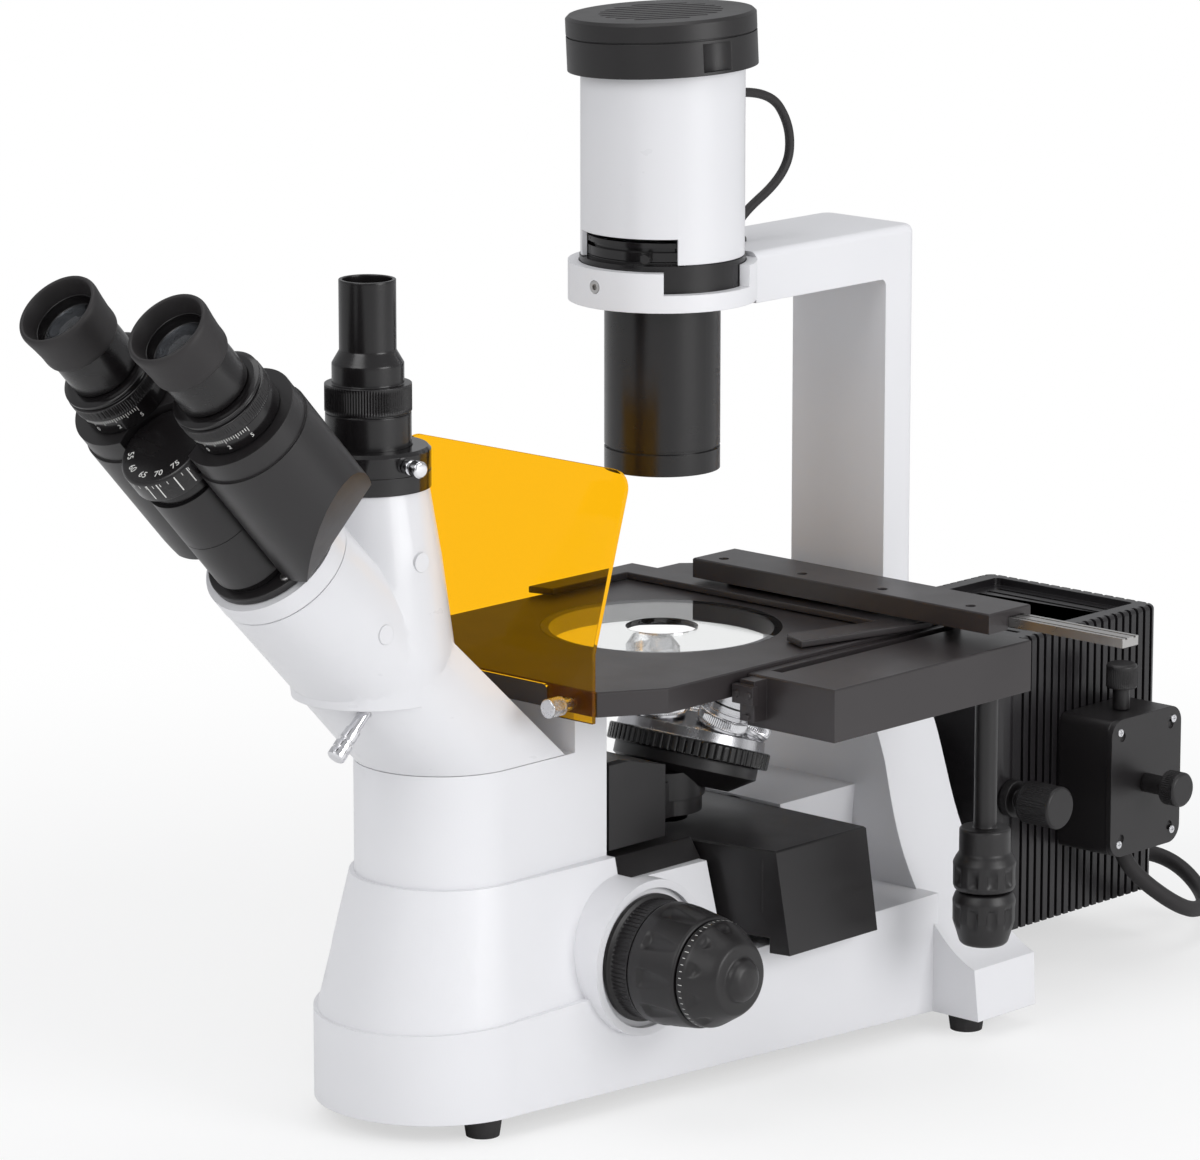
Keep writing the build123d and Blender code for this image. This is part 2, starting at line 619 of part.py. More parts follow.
# Glass: two condenser lenses and the collector lens in the lamp tube
with BuildPart() as condenser_lenses:
    for plane, radius in ((level(barrel_bottom_z + 4.2), lens_r), (level(barrel_bottom_z + 60), lens_r),
                          (level(collector_z + 0.3), collector_r)):
        turn(plane, [(0, 0), (radius, 0), (radius, 3), (radius * 0.7, 6.5), (0, 9)])
    turn(level(barrel_bottom_z + 60), [(lens_r - 2, -2), (lens_r, -2), (lens_r, 0), (lens_r - 2, 0)])
condenser_lenses.part.label = "condenser_lenses"
export_step(condenser_lenses.part, "parts/condenser_lenses.step")

# Iris ring that turns between condenser and tube, with its lever in the notch
iris_z = barrel_bottom_z + 106 + seat_gap
with BuildPart() as iris_lever:
    iris_r = tube_inner_r - 0.3
    turn(level(iris_z), [(12, 0), (iris_r, 0), (iris_r, 4.4), (iris_r - 2, 4.4), (iris_r - 2, 6.4),
                         (iris_r, 6.4), (iris_r, 9), (12, 9)])
    lever_cos = math.cos(math.radians(iris_lever_angle))
    lever_sin = math.sin(math.radians(iris_lever_angle))
    lever = Plane(origin=(axis_x + (iris_r - 0.9) * lever_cos, axis_y + (iris_r - 0.9) * lever_sin, iris_z + 2.2),
                  x_dir=(-lever_sin, lever_cos, 0), z_dir=(lever_cos, lever_sin, 0))
    block(lever, 5, 3, 6)
    disc(lifted(lever, 4.5), 2.2, 3)
iris_lever.part.label = "iris_lever"
export_step(iris_lever.part, "parts/iris_lever.step")

# Cords: limp runs joined by tangent bends, each end butting on its gland
def cord(plane, radius, points, bends):
    """A round cord along a bent path that begins square to the plane."""
    with BuildLine() as path:
        FilletPolyline(*[(axis_x + x, axis_y + y, z) for x, y, z in points], radius=bends)
    with BuildSketch(plane) as section:
        Circle(radius)
    sweep(section.sketch.faces(), path=path.wire())


lamp_cable_points = [(0, gland_tip, gland_z), (0, gland_tip + 30, gland_z), (0, gland_tip + 48, gland_z - 21),
                     (0, gland_tip + 45, gland_z - 44), (0, gland_y, arm_top_z + 10), (0, gland_y, arm_top_z + 3.5)]
lamp_cable_bends = [40, 14, 30, 8.8]
with BuildPart() as lamp_cable:
    cord(Plane(origin=(axis_x, axis_y + gland_tip, gland_z), z_dir=(0, 1, 0)), cable_r, lamp_cable_points,
         lamp_cable_bends)
lamp_cable.part.label = "lamp_cable"
export_step(lamp_cable.part, "parts/lamp_cable.step")

burner_lead_points = [(75, 271, 62.7), (75, 271, 51), (87, 313, 18), (68.5, 357.5, 12.5), (38, 365, 29.5),
                      (16, 347.5, 34.5), (16, 326.5, 34.5)]
burner_lead_bends = [10.5, 50, 26.5, 26, 19]
with BuildPart() as burner_lead:
    cord(Plane(origin=(axis_x + 75, axis_y + 271, 62.7), z_dir=(0, 0, -1)), lead_r, burner_lead_points,
         burner_lead_bends)
burner_lead.part.label = "burner_lead"
export_step(burner_lead.part, "parts/burner_lead.step")

# Trinocular head: lofted from the column's plan to the slanted tube, with an upright branch
head_rear_y = -114.0
collar_a = head_face - 11.0
with BuildPart() as head_housing:
    seat = column_plan(level(head_seat_z + seat_gap), column_r, column_y, head_rear_y, column_r)
    with BuildSketch(lifted(head_axis, collar_a)) as collar:
        with BuildLine():
            ThreePointArc((-head_tube_r, 0), (0, -head_tube_r), (head_tube_r, 0))
            ThreePointArc((head_tube_r, 0), (0.924 * head_tube_r, 0.383 * head_tube_r),
                          (0.707 * head_tube_r, 0.707 * head_tube_r))
            ThreePointArc((0.707 * head_tube_r, 0.707 * head_tube_r), (0, head_tube_r),
                          (-0.707 * head_tube_r, 0.707 * head_tube_r))
            ThreePointArc((-0.707 * head_tube_r, 0.707 * head_tube_r),
                          (-0.924 * head_tube_r, 0.383 * head_tube_r), (-head_tube_r, 0))
        make_face()
    loft([seat[0], collar.sketch.faces()[0]], ruled=True)
    turn(level(0, 0, photo_y), [(0, 212), (37, 212), (39.5, 233), (33.5, 278), (28, photo_ring_z), (0, photo_ring_z)])
    turn(head_axis, [(relay_r, collar_a), (head_tube_r - 0.8, collar_a), (head_tube_r - 0.8, collar_a + 0.8),
                     (head_tube_r + 0.3, collar_a + 0.8), (head_tube_r + 0.3, head_face), (relay_r, head_face)])
    for x, y, z in ((33.4, -201.2, 279.2), (35.6, -227.0, 249.7), (39.6, -159.5, 184.4)):
        disc(along(x - 5, y, z), 4.6, 5.8)
    disc(lifted(head_axis, -290), relay_r, 290 + head_face, mode=Mode.SUBTRACT)
    disc(level(215, 0, photo_y), relay_r, 110, mode=Mode.SUBTRACT)
    block(lifted(hinge, rod_a - 14, x=2.5, y=3), 39, 36, 30, mode=Mode.SUBTRACT)
    rod_out = Plane(origin=lifted(hinge, rod_a, x=rod_x).origin, x_dir=(1, 0, 0), z_dir=-hinge.y_dir)
    disc(rod_out, 3.1, 60, mode=Mode.SUBTRACT)
head_housing.part.label = "head_housing"
export_step(head_housing.part, "parts/head_housing.step")

# Path selector: beam prism on a carrier with a pull rod
with BuildPart() as path_selector:
    block(lifted(hinge, rod_a - 12, y=-3), 24, 22, 24)
    block(lifted(hinge, rod_a - 4, x=rod_x - 4, y=-6), 9, 9, 8)
    disc(lifted(rod_out, 8), 3.0, 22)
    turn(rod_out, [(0, 27), (3.8, 27), (3.8, 33), (3.2, 33), (3.2, 35), (4.4, 35), (4.4, 42.6), (3.6, 43.4), (0, 43.4)])
path_selector.part.label = "path_selector"
export_step(path_selector.part, "parts/path_selector.step")

# Hinge shaft with the end plate of the head and the eye-distance dial
with BuildPart() as hinge_shaft:
    disc(lifted(head_axis, head_face + seat_gap), head_tube_r - 3.0, 3.7)
    turn(hinge, [(0, head_face + seat_gap), (hinge_r - 2, head_face + seat_gap), (hinge_r - 2, -12.5),
                 (dial_r, -12.5), (dial_r, -1.2), (dial_r - 1.2, 0), (0, 0)])
    for side in (-1, 1):
        disc(lifted(hinge, head_face + 4, x=side * 22.5, y=-5.0), 2.6, 1.2)
hinge_shaft.part.label = "hinge_shaft"
export_step(hinge_shaft.part, "parts/hinge_shaft.step")

# Each eye side: prism housing that swings on the shaft, diopter ring, eyepiece
lug_h = 29.7
swing = math.radians(17.5)
for side, name in ((1, "right"), (-1, "left")):
    lug_a = -79.5 if side > 0 else -79.5 + lug_h + seat_gap
    eye = lifted(hinge, 0.0, x=side * arm_x, y=arm_rise)
    with BuildPart() as prism_housing:
        disc(lifted(eye, -79.5), housing_r, 71.0)
        disc(lifted(eye, -9.0), housing_r - 1.0, 12.0)
        outer = lifted(eye, -45.0, x=side * housing_r)
        mitre = Plane(origin=outer.origin, x_dir=hinge.y_dir,
                      z_dir=hinge.x_dir * 0.835 * side - hinge.z_dir * 0.55)
        block(mitre, 120, 160, 50, mode=Mode.SUBTRACT)
        flat = Plane(origin=lifted(hinge, -85.0, x=side * 0.4).origin,
                     x_dir=hinge.z_dir,
                     z_dir=-hinge.x_dir * math.cos(swing) * side + hinge.y_dir * math.sin(swing))
        block(flat, 260, 160, 40, mode=Mode.SUBTRACT)
        disc(lifted(hinge, -90.0), scallop_r, 100, mode=Mode.SUBTRACT)
        with BuildSketch(lifted(hinge, lug_a)) as lug:
            Circle(hinge_r)
            with Locations(Location((side * 22.0, 12.4, 0), (0, 0, side * 29.4))):
                Rectangle(20, 15)
        extrude(lug.sketch.faces(), amount=lug_h, dir=hinge.z_dir)
        disc(lifted(hinge, -90.0), hinge_r - 2 + shaft_gap, 100, mode=Mode.SUBTRACT)
        disc(eye, 13.8, diopter_top - 0.4)
        disc(lifted(eye, -12.0), 11.65, 40, mode=Mode.SUBTRACT)
    prism_housing.part.label = f"prism_housing_{name}"
    export_step(prism_housing.part, f"parts/prism_housing_{name}.step")
    with BuildPart() as diopter_ring:
        turn(eye, [(13.85, 3.3), (diopter_r - 0.8, 3.3), (diopter_r - 0.8, 12.5), (diopter_r, 13), (diopter_r, 19.5),
                   (diopter_r - 1.4, 20), (diopter_r - 1.4, 20.8), (diopter_r - 0.4, 21.2),
                   (diopter_r - 0.4, diopter_top - 0.8), (19.6, diopter_top), (13.85, diopter_top)])
    diopter_ring.part.label = f"diopter_ring_{name}"
    export_step(diopter_ring.part, f"parts/diopter_ring_{name}.step")
    with BuildPart() as eyepiece:
        turn(eye, [(0, 50), (9, 50), (9, -8), (11.6, -8), (11.6, diopter_top + seat_gap),
                   (16.4, diopter_top + seat_gap), (17, diopter_top + 1), (17, 43), (cup_r - 1.4, 43.6),
                   (cup_r - 1.2, 50), (cup_r, cup_end - 2), (cup_r - 1, cup_end), (cup_r - 2.5, cup_end), (15, 57),
                   (0, 57)])
    eyepiece.part.label = f"eyepiece_{name}"
    export_step(eyepiece.part, f"parts/eyepiece_{name}.step")

# Photo port: clamp ring with its thumb screw, and the camera tube
port = level(photo_ring_z + seat_gap, 0, photo_y)
screw_axis = Plane(origin=(axis_x + 29 * 0.99, axis_y + photo_y - 29 * 0.139, 324), x_dir=(0.139, 0.99, 0),
                   z_dir=(0.99, -0.139, 0))
with BuildPart() as photo_clamp:
    turn(port, [(relay_r, 0), (photo_ring_r, 0), (photo_ring_r, 8), (28.4, 8), (28.4, 8.8), (photo_ring_r, 8.8),
                (photo_ring_r, 17.5), (27.5, 19.1), (20.4, 19.1), (20.4, 16), (25.3, 14.5), (25.3, 2), (relay_r, 2)])
    disc(lifted(screw_axis, -6), 2.1, 12, mode=Mode.SUBTRACT)
photo_clamp.part.label = "photo_clamp"
export_step(photo_clamp.part, "parts/photo_clamp.step")

with BuildPart() as photo_clamp_screw:
    turn(screw_axis, [(0, -3.6), (2.05, -3.6), (2.05, 0.3), (3.6, 0.3), (3.6, 4), (2.4, 4.4), (2.4, 5.4), (4, 6),
                      (4, 10.5), (3.2, 11.3), (0, 11.3)])
    cross = Plane(origin=lifted(screw_axis, 8.2).origin, z_dir=(0, 0, 1))
    disc(lifted(cross, -6), 1.1, 12, mode=Mode.SUBTRACT)
photo_clamp_screw.part.label = "photo_clamp_screw"
export_step(photo_clamp_screw.part, "parts/photo_clamp_screw.step")

with BuildPart() as photo_tube:
    turn(port, [(13, 2.3), (25, 2.3), (25, 14), (photo_sleeve_r, 15.6), (photo_sleeve_r, 34.5), (19.4, 34.5),
                (19.4, 35.3), (20.3, 35.3), (20.3, 48.3), (16.8, 48.3), (16.8, 57.7), (13.3, 63.7), (13.3, 96.6),
                (11.6, 96.6), (11.6, 62), (13, 58)])
photo_tube.part.label = "photo_tube"
export_step(photo_tube.part, "parts/photo_tube.step")

# Nosepiece carrier: black box, arm, fixed plate and pivot, with the rack leg in the base
turret = Plane(origin=(axis_x, axis_y, nose_low_z), x_dir=(1, 0, 0),
               z_dir=(0, math.sin(math.radians(nose_tilt)), math.cos(math.radians(nose_tilt))))
tooth_pitch = 2 * math.pi * pinion_r / pinion_teeth
tooth_h = 0.75
with BuildPart() as nosepiece_carrier:
    with BuildSketch(along(-carrier_x)) as side_view:
        with BuildLine():
            Polyline((-80, carrier_z), (-40, carrier_z), (-40, 155), (-72, 163), (-80, 163), close=True)
        make_face()
    extrude(side_view.sketch.faces(), amount=2 * carrier_x)
    chamfer(nosepiece_carrier.edges().filter_by(Axis.Y).group_by(Axis.Z)[-1], 1.5)
    block(level(carrier_z, 0, -24), 34, 44, 18)
    disc(level(carrier_z), 20.0, 12)
    disc(level(carrier_z + 8), 21.5, 14)
    turn(turret, [(0, 46), (24, 46), (36, 54), (36, 59.7), (0, 59.7)])
    disc(level(carrier_z), 11.0, 50, mode=Mode.SUBTRACT)
    disc(lifted(turret, 50), 4.0, 30.5)
    block(level(leg_z, 0, (leg_y0 + leg_y1) / 2), 2 * leg_x, leg_y1 - leg_y0 - 1.9, carrier_z - leg_z + 1)
    for row in range(-6, 5):
        with BuildSketch(along(-8, leg_y0 + 0.95, focus_z + row * tooth_pitch)) as tooth:
            with BuildLine():
                Polyline((0.3, -0.62), (-0.95, -0.4), (-1.6, -0.2), (-1.6, 0.2), (-0.95, 0.4), (0.3, 0.62),
                         close=True)
            make_face()
        extrude(tooth.sketch.faces(), amount=16)
    block(level(leg_z - 1, 0, leg_y1), 12.0, 7.9, 60, mode=Mode.SUBTRACT)
nosepiece_carrier.part.label = "nosepiece_carrier"
export_step(nosepiece_carrier.part, "parts/nosepiece_carrier.step")

# Guide that the carrier slides on, screwed to the rear wall of the base's well
with BuildPart() as focus_guide:
    guide_y = leg_y1 - 0.95 + slide_gap
    block(level(48, 0, (guide_y + well_rear_y - seat_gap) / 2), 2 * leg_x + 2,
          well_rear_y - seat_gap - guide_y, 56)
    block(level(48, 0, guide_y - 1.4), 12.0 - 2 * slide_gap, 3.0, 56)
focus_guide.part.label = "focus_guide"
export_step(focus_guide.part, "parts/focus_guide.step")

# Turret: knurled rim, cone with five seats
with BuildPart() as nosepiece_turret:
    turn(turret, [(4.0 + shaft_gap, 60), (nose_rim_r - 1, 60), (nose_rim_r, 60.6), (nose_rim_r, 67.5),
                  (nose_rim_r - 0.6, 68.1), (37.2, 68.4), (36.6, 73.2), (12, 81.2), (4.0 + shaft_gap, 81.2)])
    for k in range(objective_count):
        angle = math.radians(-90 + 360 / objective_count * k)
        lean = math.sin(math.radians(nose_tilt))
        aim = (turret.x_dir * (lean * math.cos(angle)) + turret.y_dir * (lean * math.sin(angle))
               + turret.z_dir * math.cos(math.radians(nose_tilt)))
        disc(Plane(origin=turret.origin + aim * 55, z_dir=aim), 10.2, 40, mode=Mode.SUBTRACT)
nosepiece_turret.part.label = "nosepiece_turret"
export_step(nosepiece_turret.part, "parts/nosepiece_turret.step")

# Five objectives of different length, screwed into the seats
objective_lengths = [36.0, 36.0, 33.0, 27.0, 36.0]
with BuildPart() as objectives:
    for k in range(objective_count):
        angle = math.radians(-90 + 360 / objective_count * k)
        aim = (turret.x_dir * (lean * math.cos(angle)) + turret.y_dir * (lean * math.sin(angle))
               + turret.z_dir * math.cos(math.radians(nose_tilt)))
        reach = objective_lengths[k]
        turn(Plane(origin=turret.origin + aim * (nose_seat_z - nose_low_z + seat_gap), z_dir=aim), [
            (6, -4.5), (10.1, -4.5), (10.1, 0), (12.2, 0), (12.2, 9), (11.6, 9), (11.6, 10), (12.2, 10),
            (12.2, reach - 16), (9, reach - 10), (9, reach - 5), (5, reach), (3, reach), (3, 2), (6, 0)])
objectives.part.label = "objectives"
export_step(objectives.part, "parts/objectives.step")

# Fixed optics in the base: tube lens under the filters, prism, relay lens in the slanted bore
with BuildPart() as relay_optics:
    turn(level(0), [(15.5, 56), (18.9, 56), (18.9, 75), (15.5, 75)])
    turn(level(0), [(0, 62), (15.5, 62), (15.5, 64), (10, 67), (0, 68)])
    turn(head_axis, [(14, -285), (relay_r + 0.2, -285), (relay_r + 0.2, -262), (14, -262)])
    turn(head_axis, [(0, -280), (14, -280), (14, -278), (8, -275), (0, -274)])
    with BuildSketch(along(-12.5)) as prism_side:
        with BuildLine():
            Polyline((12, 47.7), (-17.5, 47.7), (-27.5, 37.8), (-22, 29), (-12, 29), close=True)
        make_face()
    extrude(prism_side.sketch.faces(), amount=25)
    block(level(base_z + plate_t, 0, -17), 18, 8, 17.0)
relay_optics.part.label = "relay_optics"
export_step(relay_optics.part, "parts/relay_optics.step")

# Focus drive: pinion shaft with two coarse knobs, fine shaft through it, tension ring
shaft_r = 5.0
fine_shaft_r = 3.0
coarse_len = coarse_x1 - coarse_x0
left_start = boss_x + 0.7
with BuildPart() as coarse_shaft:
    disc(along(-left_start - coarse_len + 4, focus_y, focus_z), shaft_r, coarse_x1 - 4 + left_start + coarse_len - 4)
    for k in range(pinion_teeth):
        with BuildSketch(along(-8.5, focus_y, focus_z)) as tooth:
            with Locations(Location((0, 0, 0), (0, 0, 360 / pinion_teeth * (k + 0.5)))):
                Polygon((4.5, -0.6), (4.5, 0.6), (6.0, 0.36), (6.7, 0.17), (6.7, -0.17), (6.0, -0.36), align=None)
        extrude(tooth.sketch.faces(), amount=17)
    disc(along(-left_start - coarse_len, focus_y, focus_z), fine_shaft_r + shaft_gap, 300, mode=Mode.SUBTRACT)
coarse_shaft.part.label = "coarse_shaft"
export_step(coarse_shaft.part, "parts/coarse_shaft.step")

with BuildPart() as coarse_knobs:
    for side, start in ((1, coarse_x0), (-1, left_start)):
        knob = Plane(origin=(axis_x + side * start, axis_y + focus_y, focus_z), x_dir=(0, 1, 0), z_dir=(side, 0, 0))
        turn(knob, [(shaft_r + shaft_gap, 0), (coarse_r - 0.8, 0), (coarse_r, 0.8), (coarse_r, 8),
                    (coarse_r - 2.5, coarse_len - 1), (coarse_r - 3.5, coarse_len), (24.5, coarse_len),
                    (24.5, coarse_len - 4), (shaft_r + shaft_gap, coarse_len - 4)])
        for k in range(dimple_count):
            spot = 2 * math.pi * k / dimple_count
            with BuildSketch(lifted(knob, 6, x=(coarse_r + 4.5) * math.cos(spot),
                                    y=(coarse_r + 4.5) * math.sin(spot))) as dimple:
                Circle(7.0)
            extrude(dimple.sketch.faces(), amount=15, dir=knob.z_dir, mode=Mode.SUBTRACT)
coarse_knobs.part.label = "coarse_knobs"
export_step(coarse_knobs.part, "parts/coarse_knobs.step")

with BuildPart() as fine_drive:
    disc(along(-left_start - coarse_len - 4, focus_y, focus_z), fine_shaft_r,
         coarse_x1 + left_start + coarse_len + 8)
    for side, start in ((1, coarse_x1), (-1, left_start + coarse_len)):
        knob = Plane(origin=(axis_x + side * (start + 0.4), axis_y + focus_y, focus_z), x_dir=(0, 1, 0),
                     z_dir=(side, 0, 0))
        turn(knob, [(0, 0), (fine_r - 1, 0), (fine_r, 1), (fine_r - 0.4, 5), (fine_r - 7, 16), (fine_r - 9, 18.5),
                    (11, 19), (10, 21.5), (7, 23.8), (3, 24.6), (0, 24.6)])
        for k in range(dimple_count):
            spot = 2 * math.pi * (k + 0.5) / dimple_count
            with BuildSketch(lifted(knob, 6, x=(fine_r + 0.5) * math.cos(spot),
                                    y=(fine_r + 0.5) * math.sin(spot))) as dimple:
                Circle(4.6)
            extrude(dimple.sketch.faces(), amount=15, dir=knob.z_dir, mode=Mode.SUBTRACT)
fine_drive.part.label = "fine_drive"
export_step(fine_drive.part, "parts/fine_drive.step")

with BuildPart() as tension_ring:
    ring_x = boss_x - 2.6
    turn(along(ring_x, focus_y, focus_z), [
        (shaft_r + 0.1, 0), (31, 0), (31, 2.2), (29, 3), (29, coarse_x0 - ring_x - 0.4),
        (shaft_r + 0.1, coarse_x0 - ring_x - 0.4)])
tension_ring.part.label = "tension_ring"
export_step(tension_ring.part, "parts/tension_ring.step")

# Black cover over the base behind the column, with the hole for the carrier's leg
with BuildPart() as deck_cover:
    with BuildSketch(across(cover_rear_y)) as cover_end:
        with BuildLine():
            Polyline((-49, deck_z), (49, deck_z), (42, cover_top_z), (-42, cover_top_z), close=True)
        make_face()
    extrude(cover_end.sketch.faces(), amount=cover_rear_y - column_rear_y - 0.3)
    block(level(deck_z, 0, (leg_y0 + leg_y1) / 2), 2 * leg_x + 3, 17, 20, mode=Mode.SUBTRACT)
deck_cover.part.label = "deck_cover"
export_step(deck_cover.part, "parts/deck_cover.step")

# Filter housing: box over the light path and the sloped bay on its right
with BuildPart() as filter_housing:
    block(level(cube_bottom_z, 0, (cube_front_y + cube_rear_y) / 2), 2 * cube_x, cube_rear_y - cube_front_y,
          cube_top_z - cube_bottom_z)
    with BuildSketch(across(cube_rear_y)) as bay:
        with BuildLine():
            Polyline((cube_x - 2, bay_low_z), (84, bay_low_z), (84, 64), (95, 64), (87, cube_top_z),
                     (cube_x - 2, cube_top_z), close=True)
        make_face()
    extrude(bay.sketch.faces(), amount=cube_rear_y - cube_front_y)
    with BuildSketch(level(60)) as wedge:
        with BuildLine():
            Polyline((cube_x - 2, cube_front_y), (100, -11), (100, -60), (cube_x - 2, -60), close=True)
        make_face()
    extrude(wedge.sketch.faces(), amount=60, mode=Mode.SUBTRACT)
    chamfer(filter_housing.faces().sort_by(Axis.Z)[-1].outer_wire().edges(), 0.8)
    block(along(-cube_x - 1, slider_y, slider_z), slider_w + 0.4, slider_h + 0.4, cube_x + 1 + 80,
          mode=Mode.SUBTRACT)
    disc(level(60), 13.0, 60, mode=Mode.SUBTRACT)
    disc(across(60, 0, lamp_axis_z), 13.0, 45, mode=Mode.SUBTRACT)
filter_housing.part.label = "filter_housing"
export_step(filter_housing.part, "parts/filter_housing.step")

# Slider with three filter cells, pulled by its knob on the left
with BuildPart() as filter_slider:
    block(along(-66, slider_y, slider_z), slider_w, slider_h, 106)
    for cell in (-1, 0, 1):
        disc(level(slider_z - 20, cell * cell_pitch, slider_y), 11.0, 40, mode=Mode.SUBTRACT)
        disc(across(slider_y + 20, cell * cell_pitch, slider_z), 11.0, 20, mode=Mode.SUBTRACT)
        mirror_plane = Plane(origin=(axis_x + cell * cell_pitch, axis_y + slider_y, slider_z), x_dir=(1, 0, 0),
                             z_dir=(0, 1, 1))
        block(lifted(mirror_plane, -0.5), 23.0, 28, 1.0)
    knob = Plane(origin=(axis_x - 66, axis_y + slider_y, slider_z), x_dir=(0, -1, 0), z_dir=(-1, 0, 0))
    turn(knob, [(0, 0), (3, 0), (3, 10), (7.5, 10.5), (7.5, 20), (6.5, 21), (0, 21)])
filter_slider.part.label = "filter_slider"
export_step(filter_slider.part, "parts/filter_slider.step")

# Lamp house: smooth front, finned sides, louvred recess on top, open to the socket box
with BuildPart() as lamp_house:
    mid_y = (lamp_front_y + lamp_rear_y) / 2
    lamp_h = lamp_top_z - lamp_bottom_z
    block(level(lamp_bottom_z, 0, mid_y), 2 * lamp_x, lamp_rear_y - lamp_front_y, lamp_h, corner=7.0)
    block(level(lamp_bottom_z, 0, (lamp_front_y + lamp_fin_y) / 2), 2 * lamp_x + 2, lamp_fin_y - lamp_front_y - 1.5,
          lamp_h, corner=8.0)
    fillet(lamp_house.faces().sort_by(Axis.Z)[-1].outer_wire().edges(), 2.5)
    fins = 19
    fin_pitch = (lamp_rear_y - lamp_fin_y - 4) / fins
    for k in range(fins):
        for side in (-1, 1):
            block(level(lamp_bottom_z - 1, side * (lamp_x + 0.5), lamp_fin_y + fin_pitch * (k + 0.5)), 8.0, 2.2,
                  lamp_h + 2, mode=Mode.SUBTRACT)
    for k in range(15):
        block(level(lamp_bottom_z - 1, -50.4 + 7.2 * k, lamp_rear_y + 0.5), 2.8, 8.0, lamp_h + 2,
              mode=Mode.SUBTRACT)
    block(level(lamp_bottom_z + 9, 0, mid_y), 2 * lamp_x - 20, lamp_rear_y - lamp_front_y - 20, lamp_h - 20,
          mode=Mode.SUBTRACT)
    block(level(lamp_top_z - 4, 0, (lamp_fin_y + lamp_rear_y) / 2 + 1), 2 * lamp_x - 22, 98, 10, corner=3.0,
          mode=Mode.SUBTRACT)
    for k in range(11):
        block(level(lamp_top_z - 15, 0, lamp_fin_y + 18 + 8.2 * k), 2 * lamp_x - 34, 3.0, 16, mode=Mode.SUBTRACT)
    disc(across(lamp_front_y + 20, 0, lamp_axis_z), 17.0, 30, mode=Mode.SUBTRACT)
    disc(along(lamp_x - 20, burner_y, lamp_axis_z), 14.0, 30, mode=Mode.SUBTRACT)
    disc(along(lamp_x - 15, lamp_front_y + 14, lamp_axis_z - 1), 3.05, 30, mode=Mode.SUBTRACT)
    disc(across(lamp_rear_y + 1, 16, 34.5), 4.0, 6, mode=Mode.SUBTRACT)
lamp_house.part.label = "lamp_house"
export_step(lamp_house.part, "parts/lamp_house.step")

# Collector tube between the stand and the lamp house, with its flanges and lens
with BuildPart() as collector_tube:
    turn(Plane(origin=(axis_x, axis_y, lamp_axis_z), x_dir=(1, 0, 0), z_dir=(0, 1, 0)), [
        (17, pillar_rear_y + seat_gap), (24, pillar_rear_y + seat_gap), (24, 163), (29.5, 163.5), (29.5, 171),
        (26, 171.5), (26, 176), (30.5, 176.5), (30.5, lamp_front_y - seat_gap), (17, lamp_front_y - seat_gap)])
    turn(Plane(origin=(axis_x, axis_y, lamp_axis_z), x_dir=(1, 0, 0), z_dir=(0, 1, 0)), [
        (0, 164), (17, 164), (17, 168), (12, 172), (0, 174)])
collector_tube.part.label = "collector_tube"
export_step(collector_tube.part, "parts/collector_tube.step")

# Socket box on the lamp house's right side
with BuildPart() as socket_box:
    box_w = box_rear_y - box_front_y
    box_mid_z = (box_bottom_z + box_top_z) / 2
    block(along(lamp_x + seat_gap, burner_y, box_mid_z), box_w, box_top_z - box_bottom_z, box_x - lamp_x - 3.5,
          corner=5.0)
    block(along(box_x - 3.2, burner_y, box_mid_z), box_w + 1.5, box_top_z - box_bottom_z + 1.5, 3.2, corner=9.0)
    for dy in (-20, 20):
        for dz in (-27, 27):
            disc(along(box_x - 1, burner_y + dy, box_mid_z + dz), 2.5, 4, mode=Mode.SUBTRACT)
    disc(along(box_x - 12, burner_y, lamp_axis_z), 3.05, 14, mode=Mode.SUBTRACT)
    disc(level(box_top_z - 10, knob_x, burner_y), 3.05, 12, mode=Mode.SUBTRACT)
    disc(level(box_bottom_z - 1, 75, 271), 4.0, 6, mode=Mode.SUBTRACT)
socket_box.part.label = "socket_box"
export_step(socket_box.part, "parts/socket_box.step")

# Arc burner on its holder, in front of the light port
with BuildPart() as burner:
    turn(along(0, burner_y, lamp_axis_z), [(0, -30), (3.5, -30), (4, -14), (8, -8), (9.5, 0), (8, 8), (4, 14),
                                           (4, 24), (7, 25), (7, 34), (12, 34), (12, lamp_x), (0, lamp_x)])
burner.part.label = "burner"
export_step(burner.part, "parts/burner.step")

# Knobs of the lamp house: collector focus, and the two that centre the burner
with BuildPart() as collector_knob:
    turn(along(lamp_x + 1 + 0.3, lamp_front_y + 14, lamp_axis_z - 1), [
        (0, -10), (3, -10), (3, 0), (9.5, 0), (9.5, 5), (5, 5.6), (5, 11), (10.5, 11.5), (11, 12.5), (11, 32),
        (10, 33), (0, 33)])
collector_knob.part.label = "collector_knob"
export_step(collector_knob.part, "parts/collector_knob.step")

with BuildPart() as centring_knob_side:
    turn(along(box_x + 0.3, burner_y, lamp_axis_z), [(0, -9), (3, -9), (3, 0), (5, 0), (5, 14), (9, 14.5), (9, 23),
                                                     (8, 24), (0, 24)])
centring_knob_side.part.label = "centring_knob_side"
export_step(centring_knob_side.part, "parts/centring_knob_side.step")

with BuildPart() as centring_knob_top:
    turn(level(box_top_z + 0.3, knob_x, burner_y), [(0, -8), (3, -8), (3, 0), (4.5, 0), (4.5, 11), (8, 11.5),
                                                    (8, 23), (7, 24), (0, 24)])
centring_knob_top.part.label = "centring_knob_top"
export_step(centring_knob_top.part, "parts/centring_knob_top.step")

